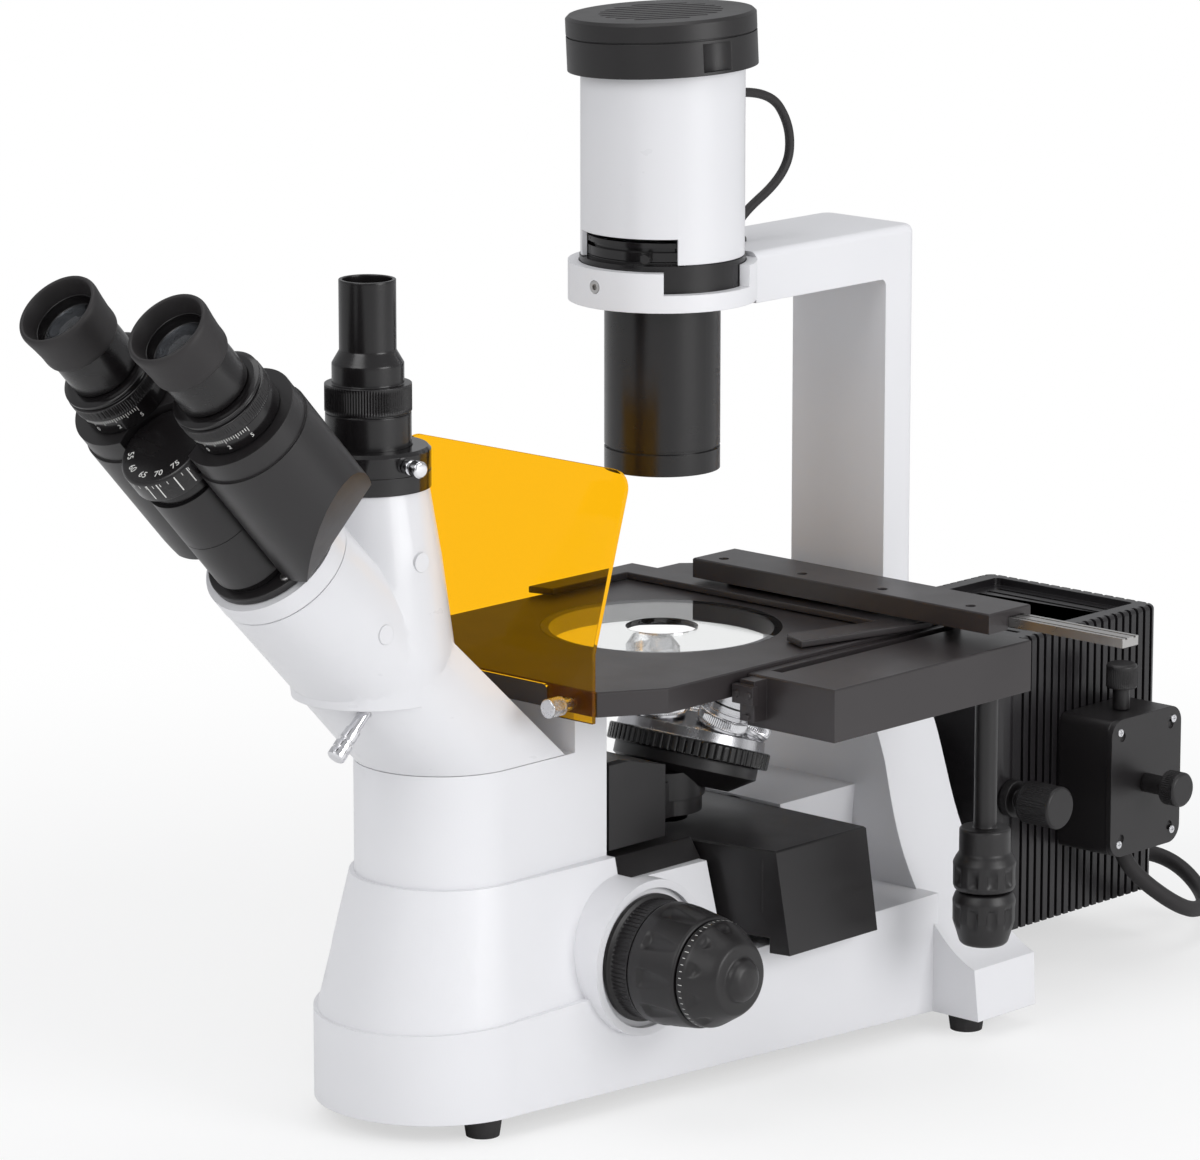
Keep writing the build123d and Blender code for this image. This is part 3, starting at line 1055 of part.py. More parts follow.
# Cable glands: tube, arm, socket box and lamp house
with BuildPart() as cable_glands:
    turn(Plane(origin=(axis_x, axis_y, gland_z), x_dir=(1, 0, 0), z_dir=(0, 1, 0)), [
        (0, tube_r - 1.1), (3.7, tube_r - 1.1), (3.7, tube_r), (6, tube_r + 0.4), (6, gland_tip - 3), (4.2, gland_tip),
        (0, gland_tip)])
    turn(level(arm_top_z, 0, gland_y), [(0, -5), (3.7, -5), (3.7, 0), (6, 0), (6, 1.5), (4.2, 3.5), (0, 3.5)])
    turn(level(box_bottom_z, 75, 271), [(0, 4), (3.7, 4), (3.7, 0), (6.5, 0), (6.5, -0.3), (0, -0.3)])
    turn(Plane(origin=(axis_x + 16, axis_y + lamp_rear_y, 34.5), x_dir=(1, 0, 0), z_dir=(0, 1, 0)), [
        (0, -3.4), (3.7, -3.4), (3.7, 0), (7, 0), (7, 2), (5.5, 3.5), (0, 3.5)])
cable_glands.part.label = "cable_glands"
export_step(cable_glands.part, "parts/cable_glands.step")

# Bar that travels front to back: carriage in the extension, link through its slot, bar on top
with BuildPart() as x_bar:
    block(level(block_z0 + 5, 119.3, 84), 44.4, 34, 16.4)
    block(level(block_z0 + 16, 100.7, 100.9), 6.2, 5.8, bar_z0 - block_z0 - 15)
    block(level(bar_z0, (bar_x0 + bar_x1) / 2, (bar_y0 + bar_back_y) / 2), bar_x1 - bar_x0, bar_back_y - bar_y0,
          bar_z1 - bar_z0)
    chamfer(x_bar.faces().sort_by(Axis.Z)[-1].outer_wire().edges(), 0.6)
    for x in (-32, 20, 72, 128):
        disc(level(bar_z1 - 2, x, bar_y0 + 9), 2.6, 4, mode=Mode.SUBTRACT)
    block(along(bar_x0 - 1, rail_y, rail_z - 3), rail_w + 0.2, rail_h + 6.2, bar_x1 - bar_x0 + 2,
          mode=Mode.SUBTRACT)
    disc(level(block_z0, control_x, control_y), 5.65, 18, mode=Mode.SUBTRACT)
    disc(level(block_z0, control_x, control_y), 3.55, 24, mode=Mode.SUBTRACT)
x_bar.part.label = "x_bar"
export_step(x_bar.part, "parts/x_bar.step")

# Rail that slides left and right in the bar's channel, with its rack
with BuildPart() as x_rail:
    block(along(rail_x0, rail_y, rail_z), rail_w, rail_h, rail_x1 - rail_x0)
    for dy in (-3.2, 3.2):
        block(along(rail_x0, rail_y + dy, rail_z + rail_h / 2), 1.6, 1.6, rail_x1 - rail_x0, mode=Mode.SUBTRACT)
x_rail.part.label = "x_rail"
export_step(x_rail.part, "parts/x_rail.step")

# Specimen holder: flat frame with two arms and a corner clip, hung on the rail
with BuildPart() as specimen_holder:
    with BuildSketch(level(stage_z + 0.6)) as frame:
        with BuildLine():
            Polyline((-97, 8), (-84, 12), (-84, 66), (81, 66), (68, 14.6), (84, 7.3), (102, 84), (25, 84),
                     (25, 98.9), (-35, 98.9), (-35, 84), (-97, 84), close=True)
        make_face()
    extrude(frame.sketch.faces(), amount=3.4)
    block(level(stage_z + 3.9, -5, rail_y), 60, rail_w - 0.2, rail_z - rail_h / 2 - stage_z - 3.9 - seat_gap)
specimen_holder.part.label = "specimen_holder"
export_step(specimen_holder.part, "parts/specimen_holder.step")

# Coaxial controls under the carriage: outer tube and upper knob for the bar, inner shaft for the rail
with BuildPart() as y_control:
    turn(level(0, control_x, control_y), [
        (3.55, block_z0 + 17), (3.55, 84.9), (10, 84.9), (14.6, 85.6), (15.5, 88), (15.5, 99), (14, 102), (12.6, 104),
        (12.6, 115.5), (11.8, 116.3), (5.6, 116.3), (5.6, block_z0 + 17)])
    for k in range(dimple_count):
        spot = 2 * math.pi * k / dimple_count
        disc(level(88, control_x + 17.8 * math.cos(spot), control_y + 17.8 * math.sin(spot)), 3.8, 9,
             mode=Mode.SUBTRACT)
y_control.part.label = "y_control"
export_step(y_control.part, "parts/y_control.step")

with BuildPart() as x_control:
    turn(level(0, control_x, control_y), [
        (0, 57.6), (10.5, 57.6), (12, 59), (13.5, 64), (15.5, 70), (15.5, 80), (14, 84), (12.5, 84.5), (3.5, 84.5),
        (3.5, block_z0 + 21.5), (0, block_z0 + 21.5)])
    for k in range(dimple_count):
        spot = 2 * math.pi * k / dimple_count
        disc(level(67, control_x + 17.8 * math.cos(spot), control_y + 17.8 * math.sin(spot)), 3.8, 11,
             mode=Mode.SUBTRACT)
x_control.part.label = "x_control"
export_step(x_control.part, "parts/x_control.step")
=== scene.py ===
"""Looks of an inverted microscope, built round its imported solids. Sizes are in millimetres
from the optical axis, and in metres once a mesh is made."""

import json
import math

import bmesh
import bpy
import numpy as np
from mathutils import Matrix, Vector


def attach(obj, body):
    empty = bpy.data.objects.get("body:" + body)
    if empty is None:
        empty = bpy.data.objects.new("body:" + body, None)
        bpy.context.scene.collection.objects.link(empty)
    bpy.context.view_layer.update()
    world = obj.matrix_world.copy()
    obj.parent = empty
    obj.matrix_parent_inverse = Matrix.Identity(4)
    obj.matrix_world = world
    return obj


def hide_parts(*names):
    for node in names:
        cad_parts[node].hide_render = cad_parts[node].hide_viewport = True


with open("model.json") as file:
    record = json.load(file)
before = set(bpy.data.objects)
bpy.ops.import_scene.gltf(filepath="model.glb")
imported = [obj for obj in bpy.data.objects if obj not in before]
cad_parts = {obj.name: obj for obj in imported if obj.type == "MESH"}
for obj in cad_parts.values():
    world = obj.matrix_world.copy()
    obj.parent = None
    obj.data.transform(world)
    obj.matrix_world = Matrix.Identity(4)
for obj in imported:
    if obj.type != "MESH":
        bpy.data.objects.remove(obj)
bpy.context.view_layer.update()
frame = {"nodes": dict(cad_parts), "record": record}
nodes = frame["nodes"]
body_of = {node: body for body, group in frame["record"]["behaviour"]["bodies"].items() for node in group}

AXIS = np.array([-47.65, 25.3, 0.0])
MM = 0.001


def metres(point):
    """A point from the optical axis, as the frame has it."""
    return tuple((np.asarray(point, float) + AXIS) * MM)


# Camera: at the photograph's viewing angle
CAMERA_SPOT = (1982.0, -2179.3, 876.2)
CAMERA_YAW = math.radians(42.873)
CAMERA_PITCH = math.radians(12.303)
camera_data = bpy.data.cameras.new("photo_camera")
camera_data.lens = 185.28
camera_data.sensor_width = 36.0
camera_data.clip_start, camera_data.clip_end = 0.1, 60.0
camera = bpy.data.objects.new("photo_camera", camera_data)
bpy.context.scene.collection.objects.link(camera)
sight = Vector((-math.sin(CAMERA_YAW) * math.cos(CAMERA_PITCH), math.cos(CAMERA_YAW) * math.cos(CAMERA_PITCH),
                -math.sin(CAMERA_PITCH)))
camera.location = metres(CAMERA_SPOT)
camera.rotation_euler = sight.to_track_quat("-Z", "Y").to_euler()
bpy.context.scene.camera = camera
bpy.context.scene.view_settings.view_transform = "Standard"


# Cords: one open spline each, on the routes of the solids
def lay_cord(name, route, diameter):
    """A round cord whose centreline is a spline on the route's points, from gland to gland."""
    curve = bpy.data.curves.new(name, "CURVE")
    curve.dimensions = "3D"
    curve.bevel_depth = 1.0  # times each point's own radius
    curve.bevel_resolution = 6
    curve.resolution_u = 16
    curve.use_fill_caps = True
    spline = curve.splines.new("NURBS")
    spline.points.add(len(route) - 1)
    for spot, point in zip(spline.points, route):
        spot.co = (*metres(point), 1.0)
        spot.radius = diameter / 2 * MM
    spline.order_u = 3
    spline.use_endpoint_u = True
    cord = bpy.data.objects.new(name, curve)
    bpy.context.scene.collection.objects.link(cord)
    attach(cord, "stand")
    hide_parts(name)
    metres(route[0])
    return cord


lamp_cord = lay_cord("lamp_cable", [(0, 46, 468), (0, 76, 468), (0, 94, 447), (0, 91, 424), (0, 52, 405),
                                    (0, 52, 398.5)], 4.6)
burner_cord = lay_cord("burner_lead", [(75, 271, 62.7), (75, 271, 51), (87, 313, 18), (68.5, 357.5, 12.5),
                                       (38, 365, 29.5), (16, 347.5, 34.5), (16, 326.5, 34.5)], 8.5)


# Materials
class Wire:
    """A value that varies over a surface. Arithmetic on it adds the Math nodes."""

    def __init__(self, finish, socket):
        self.finish, self.socket = finish, socket

    def sum_up(self, operation, first, second):
        return self.finish.node("ShaderNodeMath", {"operation": operation}, {0: first, 1: second})

    def __add__(self, other):
        return self.sum_up("ADD", self, other)

    def __sub__(self, other):
        return self.sum_up("SUBTRACT", self, other)

    def __rsub__(self, other):
        return self.sum_up("SUBTRACT", other, self)

    def __mul__(self, other):
        return self.sum_up("MULTIPLY", self, other)

    __radd__ = __add__
    __rmul__ = __mul__


class Finish:
    """A material under work: its node tree and the ways to add to it."""

    def __init__(self, name):
        self.material = bpy.data.materials.new(name)
        self.material.use_nodes = True
        self.tree = self.material.node_tree
        self.tree.nodes.clear()
        self.place = self.node("ShaderNodeTexCoord", {}, {}, "Object")

    def node(self, kind, settings, sockets, out=0):
        """One node: its settings first, then the values or links of its sockets."""
        made = self.tree.nodes.new(kind)
        for key, value in settings.items():
            if key == "stops":
                ramp = made.color_ramp
                while len(ramp.elements) < len(value):
                    ramp.elements.new(0.5)
                for element, (position, shade) in zip(ramp.elements, value):
                    element.position, element.color = position, (shade, shade, shade, 1)
            else:
                setattr(made, key, value)
        for key, value in sockets.items():
            if isinstance(value, Wire):
                self.tree.links.new(value.socket, made.inputs[key])
            else:
                made.inputs[key].default_value = value
        return Wire(self, made.outputs[out])

    def noise(self, scale, detail=2.0, stretch=None):
        """Cloudy noise; scale counts features to the metre."""
        place = self.place
        if stretch:
            place = self.node("ShaderNodeMapping", {}, {"Vector": place, "Scale": stretch})
        return self.node("ShaderNodeTexNoise", {}, {"Vector": place, "Scale": scale, "Detail": detail})

    def ramp(self, wire, stops):
        return self.node("ShaderNodeValToRGB", {"stops": stops}, {"Fac": wire})

    def blend(self, mask, first, second):
        """The first colour where the mask is 0 and the second where it is 1."""
        return self.node("ShaderNodeMix", {"data_type": "RGBA"},
                         {"Factor": mask, 6: (*first, 1), 7: (*second, 1)}, 2)

    def bump(self, height, strength, distance, edge=0.0):
        """The surface's normal with small relief, its edges eased where edge is a radius."""
        sockets = {"Height": height, "Strength": strength, "Distance": distance}
        if edge:
            sockets["Normal"] = self.node("ShaderNodeBevel", {"samples": 4}, {"Radius": edge * MM})
        return self.node("ShaderNodeBump", {}, sockets)

    def done(self, **sockets):
        """Ends the material with its shader."""
        named = {key.replace("_", " ").title().replace("Ior", "IOR"): value for key, value in sockets.items()}
        shader = self.node("ShaderNodeBsdfPrincipled", {}, named)
        output = self.tree.nodes.new("ShaderNodeOutputMaterial")
        self.tree.links.new(shader.socket, output.inputs["Surface"])
        return self.material


def tone(red, green, blue):
    """A colour as it is seen, 0 to 255, turned into the light that the shader counts in."""
    seen = np.array([red, green, blue], float) / 255
    return tuple(float(c) for c in np.where(seen <= 0.04045, seen / 12.92, ((seen + 0.055) / 1.055) ** 2.4))


def paint(name, colour, rough, grain=1500.0, relief=0.05, coat=0.0, edge=0.5, spread=0.03):
    """Sprayed paint: faint orange peel, cloudy gloss, a shade of difference over the part."""
    finish = Finish(name)
    cloud = finish.noise(14.0, 3.0)
    smear = finish.noise(45.0, 4.0, (1.0, 1.0, 2.6))
    peel = finish.noise(grain, 2.0)
    dark = tuple(c * (1 - spread) for c in colour)
    light = tuple(min(c * (1 + spread), 1.0) for c in colour)
    return finish.done(base_color=finish.blend(cloud, dark, light),
                       roughness=rough + (smear - 0.5) * 0.12,
                       normal=finish.bump(peel, relief, 0.0004, edge),
                       coat_weight=coat, coat_roughness=0.12)


def metal(name, colour, rough, brushed=(1.0, 1.0, 1.0), relief=0.04, edge=0.25):
    """Bare or plated metal: fine machining lines and clouds of handling."""
    finish = Finish(name)
    lines = finish.noise(900.0, 3.0, brushed)
    cloud = finish.noise(60.0, 3.0)
    return finish.done(base_color=finish.blend(cloud, tuple(c * 0.9 for c in colour), colour), metallic=1.0,
                       roughness=rough + (cloud - 0.5) * 0.12 + (lines - 0.5) * 0.08,
                       normal=finish.bump(lines, relief, 0.0002, edge))


def glass(name, colour, rough=0.0, ior=1.5, haze=0.02):
    """Clear or tinted glass with a trace of fingermarks."""
    finish = Finish(name)
    cloud = finish.noise(35.0, 4.0)
    marks = finish.ramp(cloud, [(0.45, 0.0), (0.75, 1.0)])
    return finish.done(base_color=finish.blend(cloud, colour, tuple(min(c * 1.01, 1.0) for c in colour)),
                       roughness=rough + marks * haze, transmission_weight=1.0, ior=ior,
                       normal=finish.bump(finish.noise(7.0, 1.0), 0.02, 0.001))


looks = {
    "white_gloss": paint("white_gloss_paint", tone(222, 222, 225), 0.30, coat=0.35, relief=0.04),
    "white_satin": paint("white_satin_paint", tone(226, 226, 229), 0.42, coat=0.15, relief=0.08),
    "black_satin": paint("black_satin_paint", tone(29, 27, 28), 0.36, relief=0.07, spread=0.12),
    "black_stage": paint("black_stage_coating", tone(46, 42, 43), 0.34, grain=2600.0, relief=0.10,
                         spread=0.1),
    "black_anodised": paint("black_anodising", tone(20, 18, 19), 0.26, grain=3000.0, relief=0.04, edge=0.25,
                            spread=0.15),
    "black_gloss": paint("black_gloss_lacquer", tone(20, 18, 19), 0.16, grain=1200.0, relief=0.02, edge=0.25,
                         spread=0.15),
    "black_plastic": paint("black_moulded_plastic", tone(25, 23, 24), 0.40, grain=1900.0, relief=0.12,
                           spread=0.12),
    "rubber": paint("black_rubber", tone(30, 27, 28), 0.58, grain=2400.0, relief=0.10, spread=0.12),
    "lamp_black": paint("lamp_house_enamel", tone(28, 26, 28), 0.32, grain=900.0, relief=0.14, spread=0.1),
    "white_mark": paint("white_marking", tone(225, 225, 222), 0.55, relief=0.05, edge=0.0),
    "chrome": metal("chrome_plate", (0.78, 0.78, 0.80), 0.12),
    "satin_chrome": metal("satin_chrome", (0.62, 0.62, 0.64), 0.26),
    "steel": metal("ground_steel", (0.52, 0.51, 0.50), 0.3, (1.0, 0.02, 1.0), relief=0.1),
    "clear": glass("clear_glass", (0.97, 0.98, 0.975)),
    "coated": glass("coated_lens", (0.80, 0.86, 0.95)),
    "orange": glass("orange_acrylic", (1.0, 0.50, 0.006), 0.0, 1.2, 0.02),
    "ceramic": paint("white_ceramic", tone(235, 232, 222), 0.5),
    "board": paint("board_lacquer", tone(28, 92, 52), 0.35),
}


# Shapes
def unit(vector):
    vector = np.asarray(vector, float)
    return vector / np.linalg.norm(vector)


class Place:
    """A plane in the part: its origin and three square directions."""

    def __init__(self, origin, x_dir, z_dir):
        self.o = np.asarray(origin, float)
        self.z = unit(z_dir)
        self.x = unit(np.asarray(x_dir, float) - np.dot(x_dir, self.z) * self.z)
        self.y = np.cross(self.z, self.x)

    def lifted(self, up, x=0.0, y=0.0):
        return Place(self.o + self.x * x + self.y * y + self.z * up, self.x, self.z)

    def points(self, a, b, c):
        """Local a, b and c along the three directions, as points of the part."""
        a, b, c = np.broadcast_arrays(np.asarray(a, float), b, c)
        return self.o + a[..., None] * self.x + b[..., None] * self.y + c[..., None] * self.z


def level(z, x=0.0, y=0.0):
    return Place((x, y, z), (1, 0, 0), (0, 0, 1))


def across(y, x=0.0, z=0.0):
    return Place((x, y, z), (1, 0, 0), (0, -1, 0))


def along(x, y=0.0, z=0.0, side=1):
    return Place((x, y, z), (0, 1, 0), (side, 0, 0))


def facing(y, x=0.0, z=0.0):
    """An upright plane that faces the rear."""
    return Place((x, y, z), (1, 0, 0), (0, 1, 0))


TILT = math.radians(47.0)
EYE_SPAN = 71.0
EYE_UP = 20.0
hinge = Place((0, -331, 348), (1, 0, 0), (0, -math.cos(TILT), math.sin(TILT)))
head_axis = hinge.lifted(0.0, y=8.0)


def rounded(outline, corner, steps=4):
    """Each corner of a closed outline becomes a short parabola: from the point one corner
    length before it, towards it, to the point one corner length after it. Corners on the
    axis and sides shorter than two corner lengths keep their share."""
    spots = np.asarray(outline, float)
    before, after = np.roll(spots, 1, 0) - spots, np.roll(spots, -1, 0) - spots
    span = np.minimum(np.linalg.norm(before, axis=1), np.linalg.norm(after, axis=1))
    reach = np.minimum(corner, span * 0.45)
    reach = np.where(np.abs(spots[:, 0]) < 1e-6, 0.0, reach)[:, None]
    start = spots + reach * before / np.maximum(np.linalg.norm(before, axis=1, keepdims=True), 1e-9)
    end = spots + reach * after / np.maximum(np.linalg.norm(after, axis=1, keepdims=True), 1e-9)
    t = np.linspace(0, 1, steps)[None, :, None]
    bend = (1 - t) ** 2 * start[:, None] + 2 * t * (1 - t) * spots[:, None] + t**2 * end[:, None]
    return bend.reshape(-1, 2)


def refined(outline, step):
    """A closed outline with every side cut into equal parts no longer than step."""
    spots = np.asarray(outline, float)
    after = np.roll(spots, -1, 0)
    parts = np.maximum(np.ceil(np.linalg.norm(after - spots, axis=1) / step), 1).astype(int)
    first = np.repeat(spots, parts, 0)
    last = np.repeat(after, parts, 0)
    rank = np.arange(parts.sum()) - np.repeat(np.cumsum(parts) - parts, parts)
    return first + (last - first) * (rank / np.repeat(parts, parts))[:, None]


def mesh_piece(name, vertices, faces, look, body, sharp=38.0):
    """A named piece on a body from points in millimetres and faces: doubles merged, faces
    turned outwards, smooth except at edges sharper than the angle."""
    mesh = bpy.data.meshes.new(name)
    mesh.from_pydata(((np.asarray(vertices, float) + AXIS) * MM).tolist(), [], faces)
    work = bmesh.new()
    work.from_mesh(mesh)
    bmesh.ops.remove_doubles(work, verts=work.verts, dist=2e-6)
    bmesh.ops.dissolve_degenerate(work, edges=work.edges, dist=1e-7)
    bmesh.ops.recalc_face_normals(work, faces=work.faces)
    work.to_mesh(mesh)
    work.free()
    mesh.shade_smooth()
    mesh.set_sharp_from_angle(angle=math.radians(sharp))
    mesh.materials.append(looks[look])
    piece = bpy.data.objects.new(name, mesh)
    bpy.context.scene.collection.objects.link(piece)
    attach(piece, body)
    return piece


def grid_faces(rows, columns, wrap_rows, wrap_columns, start=0):
    """Four-sided faces between neighbours of a grid that is numbered row by row."""
    index = np.arange(rows * columns).reshape(rows, columns) + start
    if wrap_rows:
        index = np.vstack([index, index[:1]])
    if wrap_columns:
        index = np.hstack([index, index[:, :1]])
    corners = [index[:-1, :-1], index[:-1, 1:], index[1:, 1:], index[1:, :-1]]
    return np.stack(corners, -1).reshape(-1, 4).tolist()


class Parts:
    """Surfaces that are gathered into one mesh."""

    def __init__(self):
        self.vertices, self.faces, self.count = [], [], 0

    def grid(self, points, wrap_rows=False, wrap_columns=False):
        rows, columns = points.shape[:2]
        self.faces += grid_faces(rows, columns, wrap_rows, wrap_columns, self.count)
        self.vertices.append(points.reshape(-1, 3))
        self.count += rows * columns
        return self

    def cap(self, ring):
        """One flat face over a ring of points."""
        self.faces.append(list(range(self.count, self.count + len(ring))))
        self.vertices.append(np.asarray(ring, float))
        self.count += len(ring)
        return self

    def turn(self, place, outline, around=96, corner=0.4, relief=None, step=None, steps=4):
        """An outline of (radius, height) turned about the plane's normal: the point at
        angle t is radius cos t, radius sin t, height. Relief maps height, angle and radius
        to a new radius."""
        line = rounded(outline, corner, steps) if corner > 0 else np.asarray(outline, float)
        if step:
            line = refined(line, step)
        angle = np.linspace(0, 2 * np.pi, around, endpoint=False)[None, :]
        radius, height = np.broadcast_arrays(line[:, :1], angle)[0], line[:, 1:]
        if relief:
            radius = relief(height, angle, radius)
        return self.grid(place.points(radius * np.cos(angle), radius * np.sin(angle), height + 0 * angle),
                         True, True)

    def slab(self, place, plan, height, edge=0.4, steps=3):
        """A plan carried up the plane's normal: near both ends the plan shrinks along a
        quarter round of the edge's size, and a flat face closes each end."""
        plan = np.asarray(plan, float)
        side = np.roll(plan, -1, 0) - plan
        side = side / np.maximum(np.linalg.norm(side, axis=1, keepdims=True), 1e-9)
        inward = np.stack([-side[:, 1], side[:, 0]], 1)
        if np.sum(plan[:, 0] * np.roll(plan[:, 1], -1) - np.roll(plan[:, 0], -1) * plan[:, 1]) < 0:
            inward = -inward
        mitre = inward + np.roll(inward, 1, 0)
        mitre = mitre / np.maximum(np.sum(mitre * inward, 1, keepdims=True), 0.3)
        t = np.linspace(0, np.pi / 2, steps + 1)
        shrink = np.concatenate([edge * (1 - np.sin(t)), edge * (1 - np.cos(t))])
        up = np.concatenate([edge * (1 - np.cos(t)), height - edge * (1 - np.sin(t))])
        rings = plan[None] + shrink[:, None, None] * mitre[None]
        points = place.points(rings[..., 0], rings[..., 1], up[:, None])
        return self.grid(points, False, True).cap(points[0]).cap(points[-1])

    def piece(self, name, look, body, sharp=38.0):
        return mesh_piece(name, np.concatenate(self.vertices), self.faces, look, body, sharp)


def turned(name, look, body, place, outline, **options):
    """One piece made by turning one outline."""
    return Parts().turn(place, outline, **options).piece(name, look, body)


def rectangle(width, depth, corner=0.0, x=0.0, y=0.0, steps=5):
    """Plan of a rectangle with rounded corners."""
    plan = np.array([(-width / 2, -depth / 2), (width / 2, -depth / 2), (width / 2, depth / 2),
                     (-width / 2, depth / 2)]) + (x, y)
    return rounded(plan + 1e-4, corner, steps) if corner > 0 else plan


def wave(angle, count):
    """A triangle wave that goes from 0 to 1 and back count times in a turn."""
    phase = (angle * count / (2 * np.pi)) % 1.0
    return 1 - np.abs(2 * phase - 1)


def within(height, low, high, ease=0.3):
    """1 between two heights and 0 outside, with an eased step at each."""
    return np.clip((height - low) / ease, 0, 1) * np.clip((high - height) / ease, 0, 1)


def ribbed(low, high, count, depth, ease=0.3):
    """Straight knurl: grooves along the axis between two heights."""
    def relief(height, angle, radius):
        return radius - depth * wave(angle, count) * within(height, low, high, ease) * (radius > 3)
    return relief


def dimpled(low, high, count, distance, hollow, inner=0.0, phase=0.0, ease=2.5):
    """Finger dimples: the radius stays outside circles of size hollow whose centres stand
    at a distance from the axis, eased in over the height."""
    def relief(height, angle, radius):
        swing = (angle - phase + np.pi / count) % (2 * np.pi / count) - np.pi / count
        room = np.clip(hollow**2 - (distance * np.sin(swing)) ** 2, 0, None)
        cut = np.where(room > 0, distance * np.cos(swing) - np.sqrt(room), 1e3)
        deep = np.maximum(radius - np.maximum(cut, inner), 0)
        return radius - deep * within(height, low, high, ease) * (radius > inner)
    return relief


def screws(places, radius, height, key="cross", around=48):
    """Screw heads: rows of rings that go up the side, over a round edge, and down into a
    recess whose outline is a cross, a slot or a hexagon in polar form."""
    angle = np.linspace(0, 2 * np.pi, around, endpoint=False)
    if key == "hex":
        turn_in = (angle + np.pi / 6) % (np.pi / 3) - np.pi / 6
        recess = radius * 0.5 / np.cos(turn_in)
    else:
        near = np.abs(np.sin(angle))
        if key == "cross":
            near = np.minimum(near, np.abs(np.cos(angle)))
        width, reach = radius * 0.13, radius * 0.68
        recess = np.where(reach * near < width, reach, width / np.maximum(near, 1e-6))
    easing = height * 0.35
    rows = [(radius, 0.0, 0), (radius, height - easing, 0),
            (radius - easing * 0.35, height - easing * 0.3, 0),
            (radius - easing, height, 0), (0, height, 1), (0, height * 0.35, 1), (0, height * 0.35, 2)]
    rings = [[r + 0 * angle, recess, 0.05 * recess][kind] if kind else r + 0 * angle for r, _, kind in rows]
    rings = np.stack(rings)
    heights = np.array([row[1] for row in rows])[:, None]
    heads = Parts()
    for place in places:
        points = place.points(rings * np.cos(angle), rings * np.sin(angle), heights)
        heads.grid(points, False, True).cap(points[-1]).cap(points[0])
    return heads


def lettering(text, size):
    """Points and faces of a short text as a thin solid, centred on the origin."""
    curve = bpy.data.curves.new("numeral", "FONT")
    curve.body, curve.size, curve.extrude = text, size, 0.04
    curve.align_x, curve.align_y = "CENTER", "CENTER"
    curve.resolution_u = 3
    holder = bpy.data.objects.new("numeral", curve)
    mesh = bpy.data.meshes.new_from_object(holder)
    points = np.zeros(len(mesh.vertices) * 3)
    mesh.vertices.foreach_get("co", points)
    faces = [list(face.vertices) for face in mesh.polygons]
    bpy.data.objects.remove(holder)
    bpy.data.curves.remove(curve)
    bpy.data.meshes.remove(mesh)
    return points.reshape(-1, 3), faces


class Marks(Parts):
    """White lines and numbers on a round or flat face."""

    def stroke(self, wrap, x, y, width, height):
        """A bar about x, y, put on its face by wrap, a function of across, up and out."""
        a = np.array([-1, 1, 1, -1]) * width / 2 + x
        b = np.array([-1, -1, 1, 1]) * height / 2 + y
        low, high = wrap(a, b, -0.02 + 0 * a), wrap(a, b, 0.05 + 0 * a)
        return self.grid(np.stack([low, high]), False, True).cap(high).cap(low)

    def word(self, wrap, text, x, y, size):
        points, faces = lettering(text, size)
        if len(points):
            self.faces += [[corner + self.count for corner in face] for face in faces]
            self.vertices.append(wrap(points[:, 0] + x, points[:, 1] + y, points[:, 2]))
            self.count += len(points)
        return self


def round_wrap(place, radius):
    """Across becomes an angle about the plane's normal, up a height, and out a radius."""
    def wrap(a, b, out):
        r = radius + out
        angle = a / radius
        return place.points(r * np.cos(angle), r * np.sin(angle), b)
    return wrap


def softened(name, node, look, width):
    """The solid's own shape with its edges eased: a copy of its mesh, merged first."""
    flat_within, edge_from = math.radians(0.5), math.radians(32.0)
    mesh = nodes[node].data.copy()
    mesh.name = name
    work = bmesh.new()
    work.from_mesh(mesh)
    bmesh.ops.remove_doubles(work, verts=work.verts, dist=3e-6)
    bmesh.ops.dissolve_limit(work, angle_limit=flat_within, verts=work.verts, edges=work.edges)
    bmesh.ops.recalc_face_normals(work, faces=work.faces)
    work.to_mesh(mesh)
    work.free()
    mesh.shade_smooth()
    mesh.materials.clear()
    mesh.materials.append(looks[look])
    piece = bpy.data.objects.new(name, mesh)
    bpy.context.scene.collection.objects.link(piece)
    bevel = piece.modifiers.new("eased_edges", "BEVEL")
    bevel.width, bevel.segments = width * MM, 2
    bevel.limit_method, bevel.angle_limit = "ANGLE", edge_from
    bevel.miter_outer = "MITER_ARC"
    normals = piece.modifiers.new("flat_faces", "WEIGHTED_NORMAL")
    normals.keep_sharp = True
    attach(piece, body_of[node])
    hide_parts(node)
    return piece


def coat(node, look):
    """A solid that keeps its own shape gets its finish."""
    nodes[node].data.materials.clear()
    nodes[node].data.materials.append(looks[look])


lamp_cord.data.materials.append(looks["rubber"])
burner_cord.data.materials.append(looks["rubber"])

for node, look in {
    "power_board": "board", "brightness_knob": "black_plastic", "stand_screws": "steel",
    "focus_guide": "steel", "relay_optics": "coated", "coarse_shaft": "steel",
    "collector_tube": "black_satin", "burner": "ceramic", "x_rail": "steel", "feet": "rubber",
    "condenser_lenses": "coated", "glass_insert": "clear", "halogen_bulb": "clear",
    "condenser_barrel": "black_anodised", "nosepiece_turret": "satin_chrome", "objectives": "satin_chrome",
}.items():
    coat(node, look)

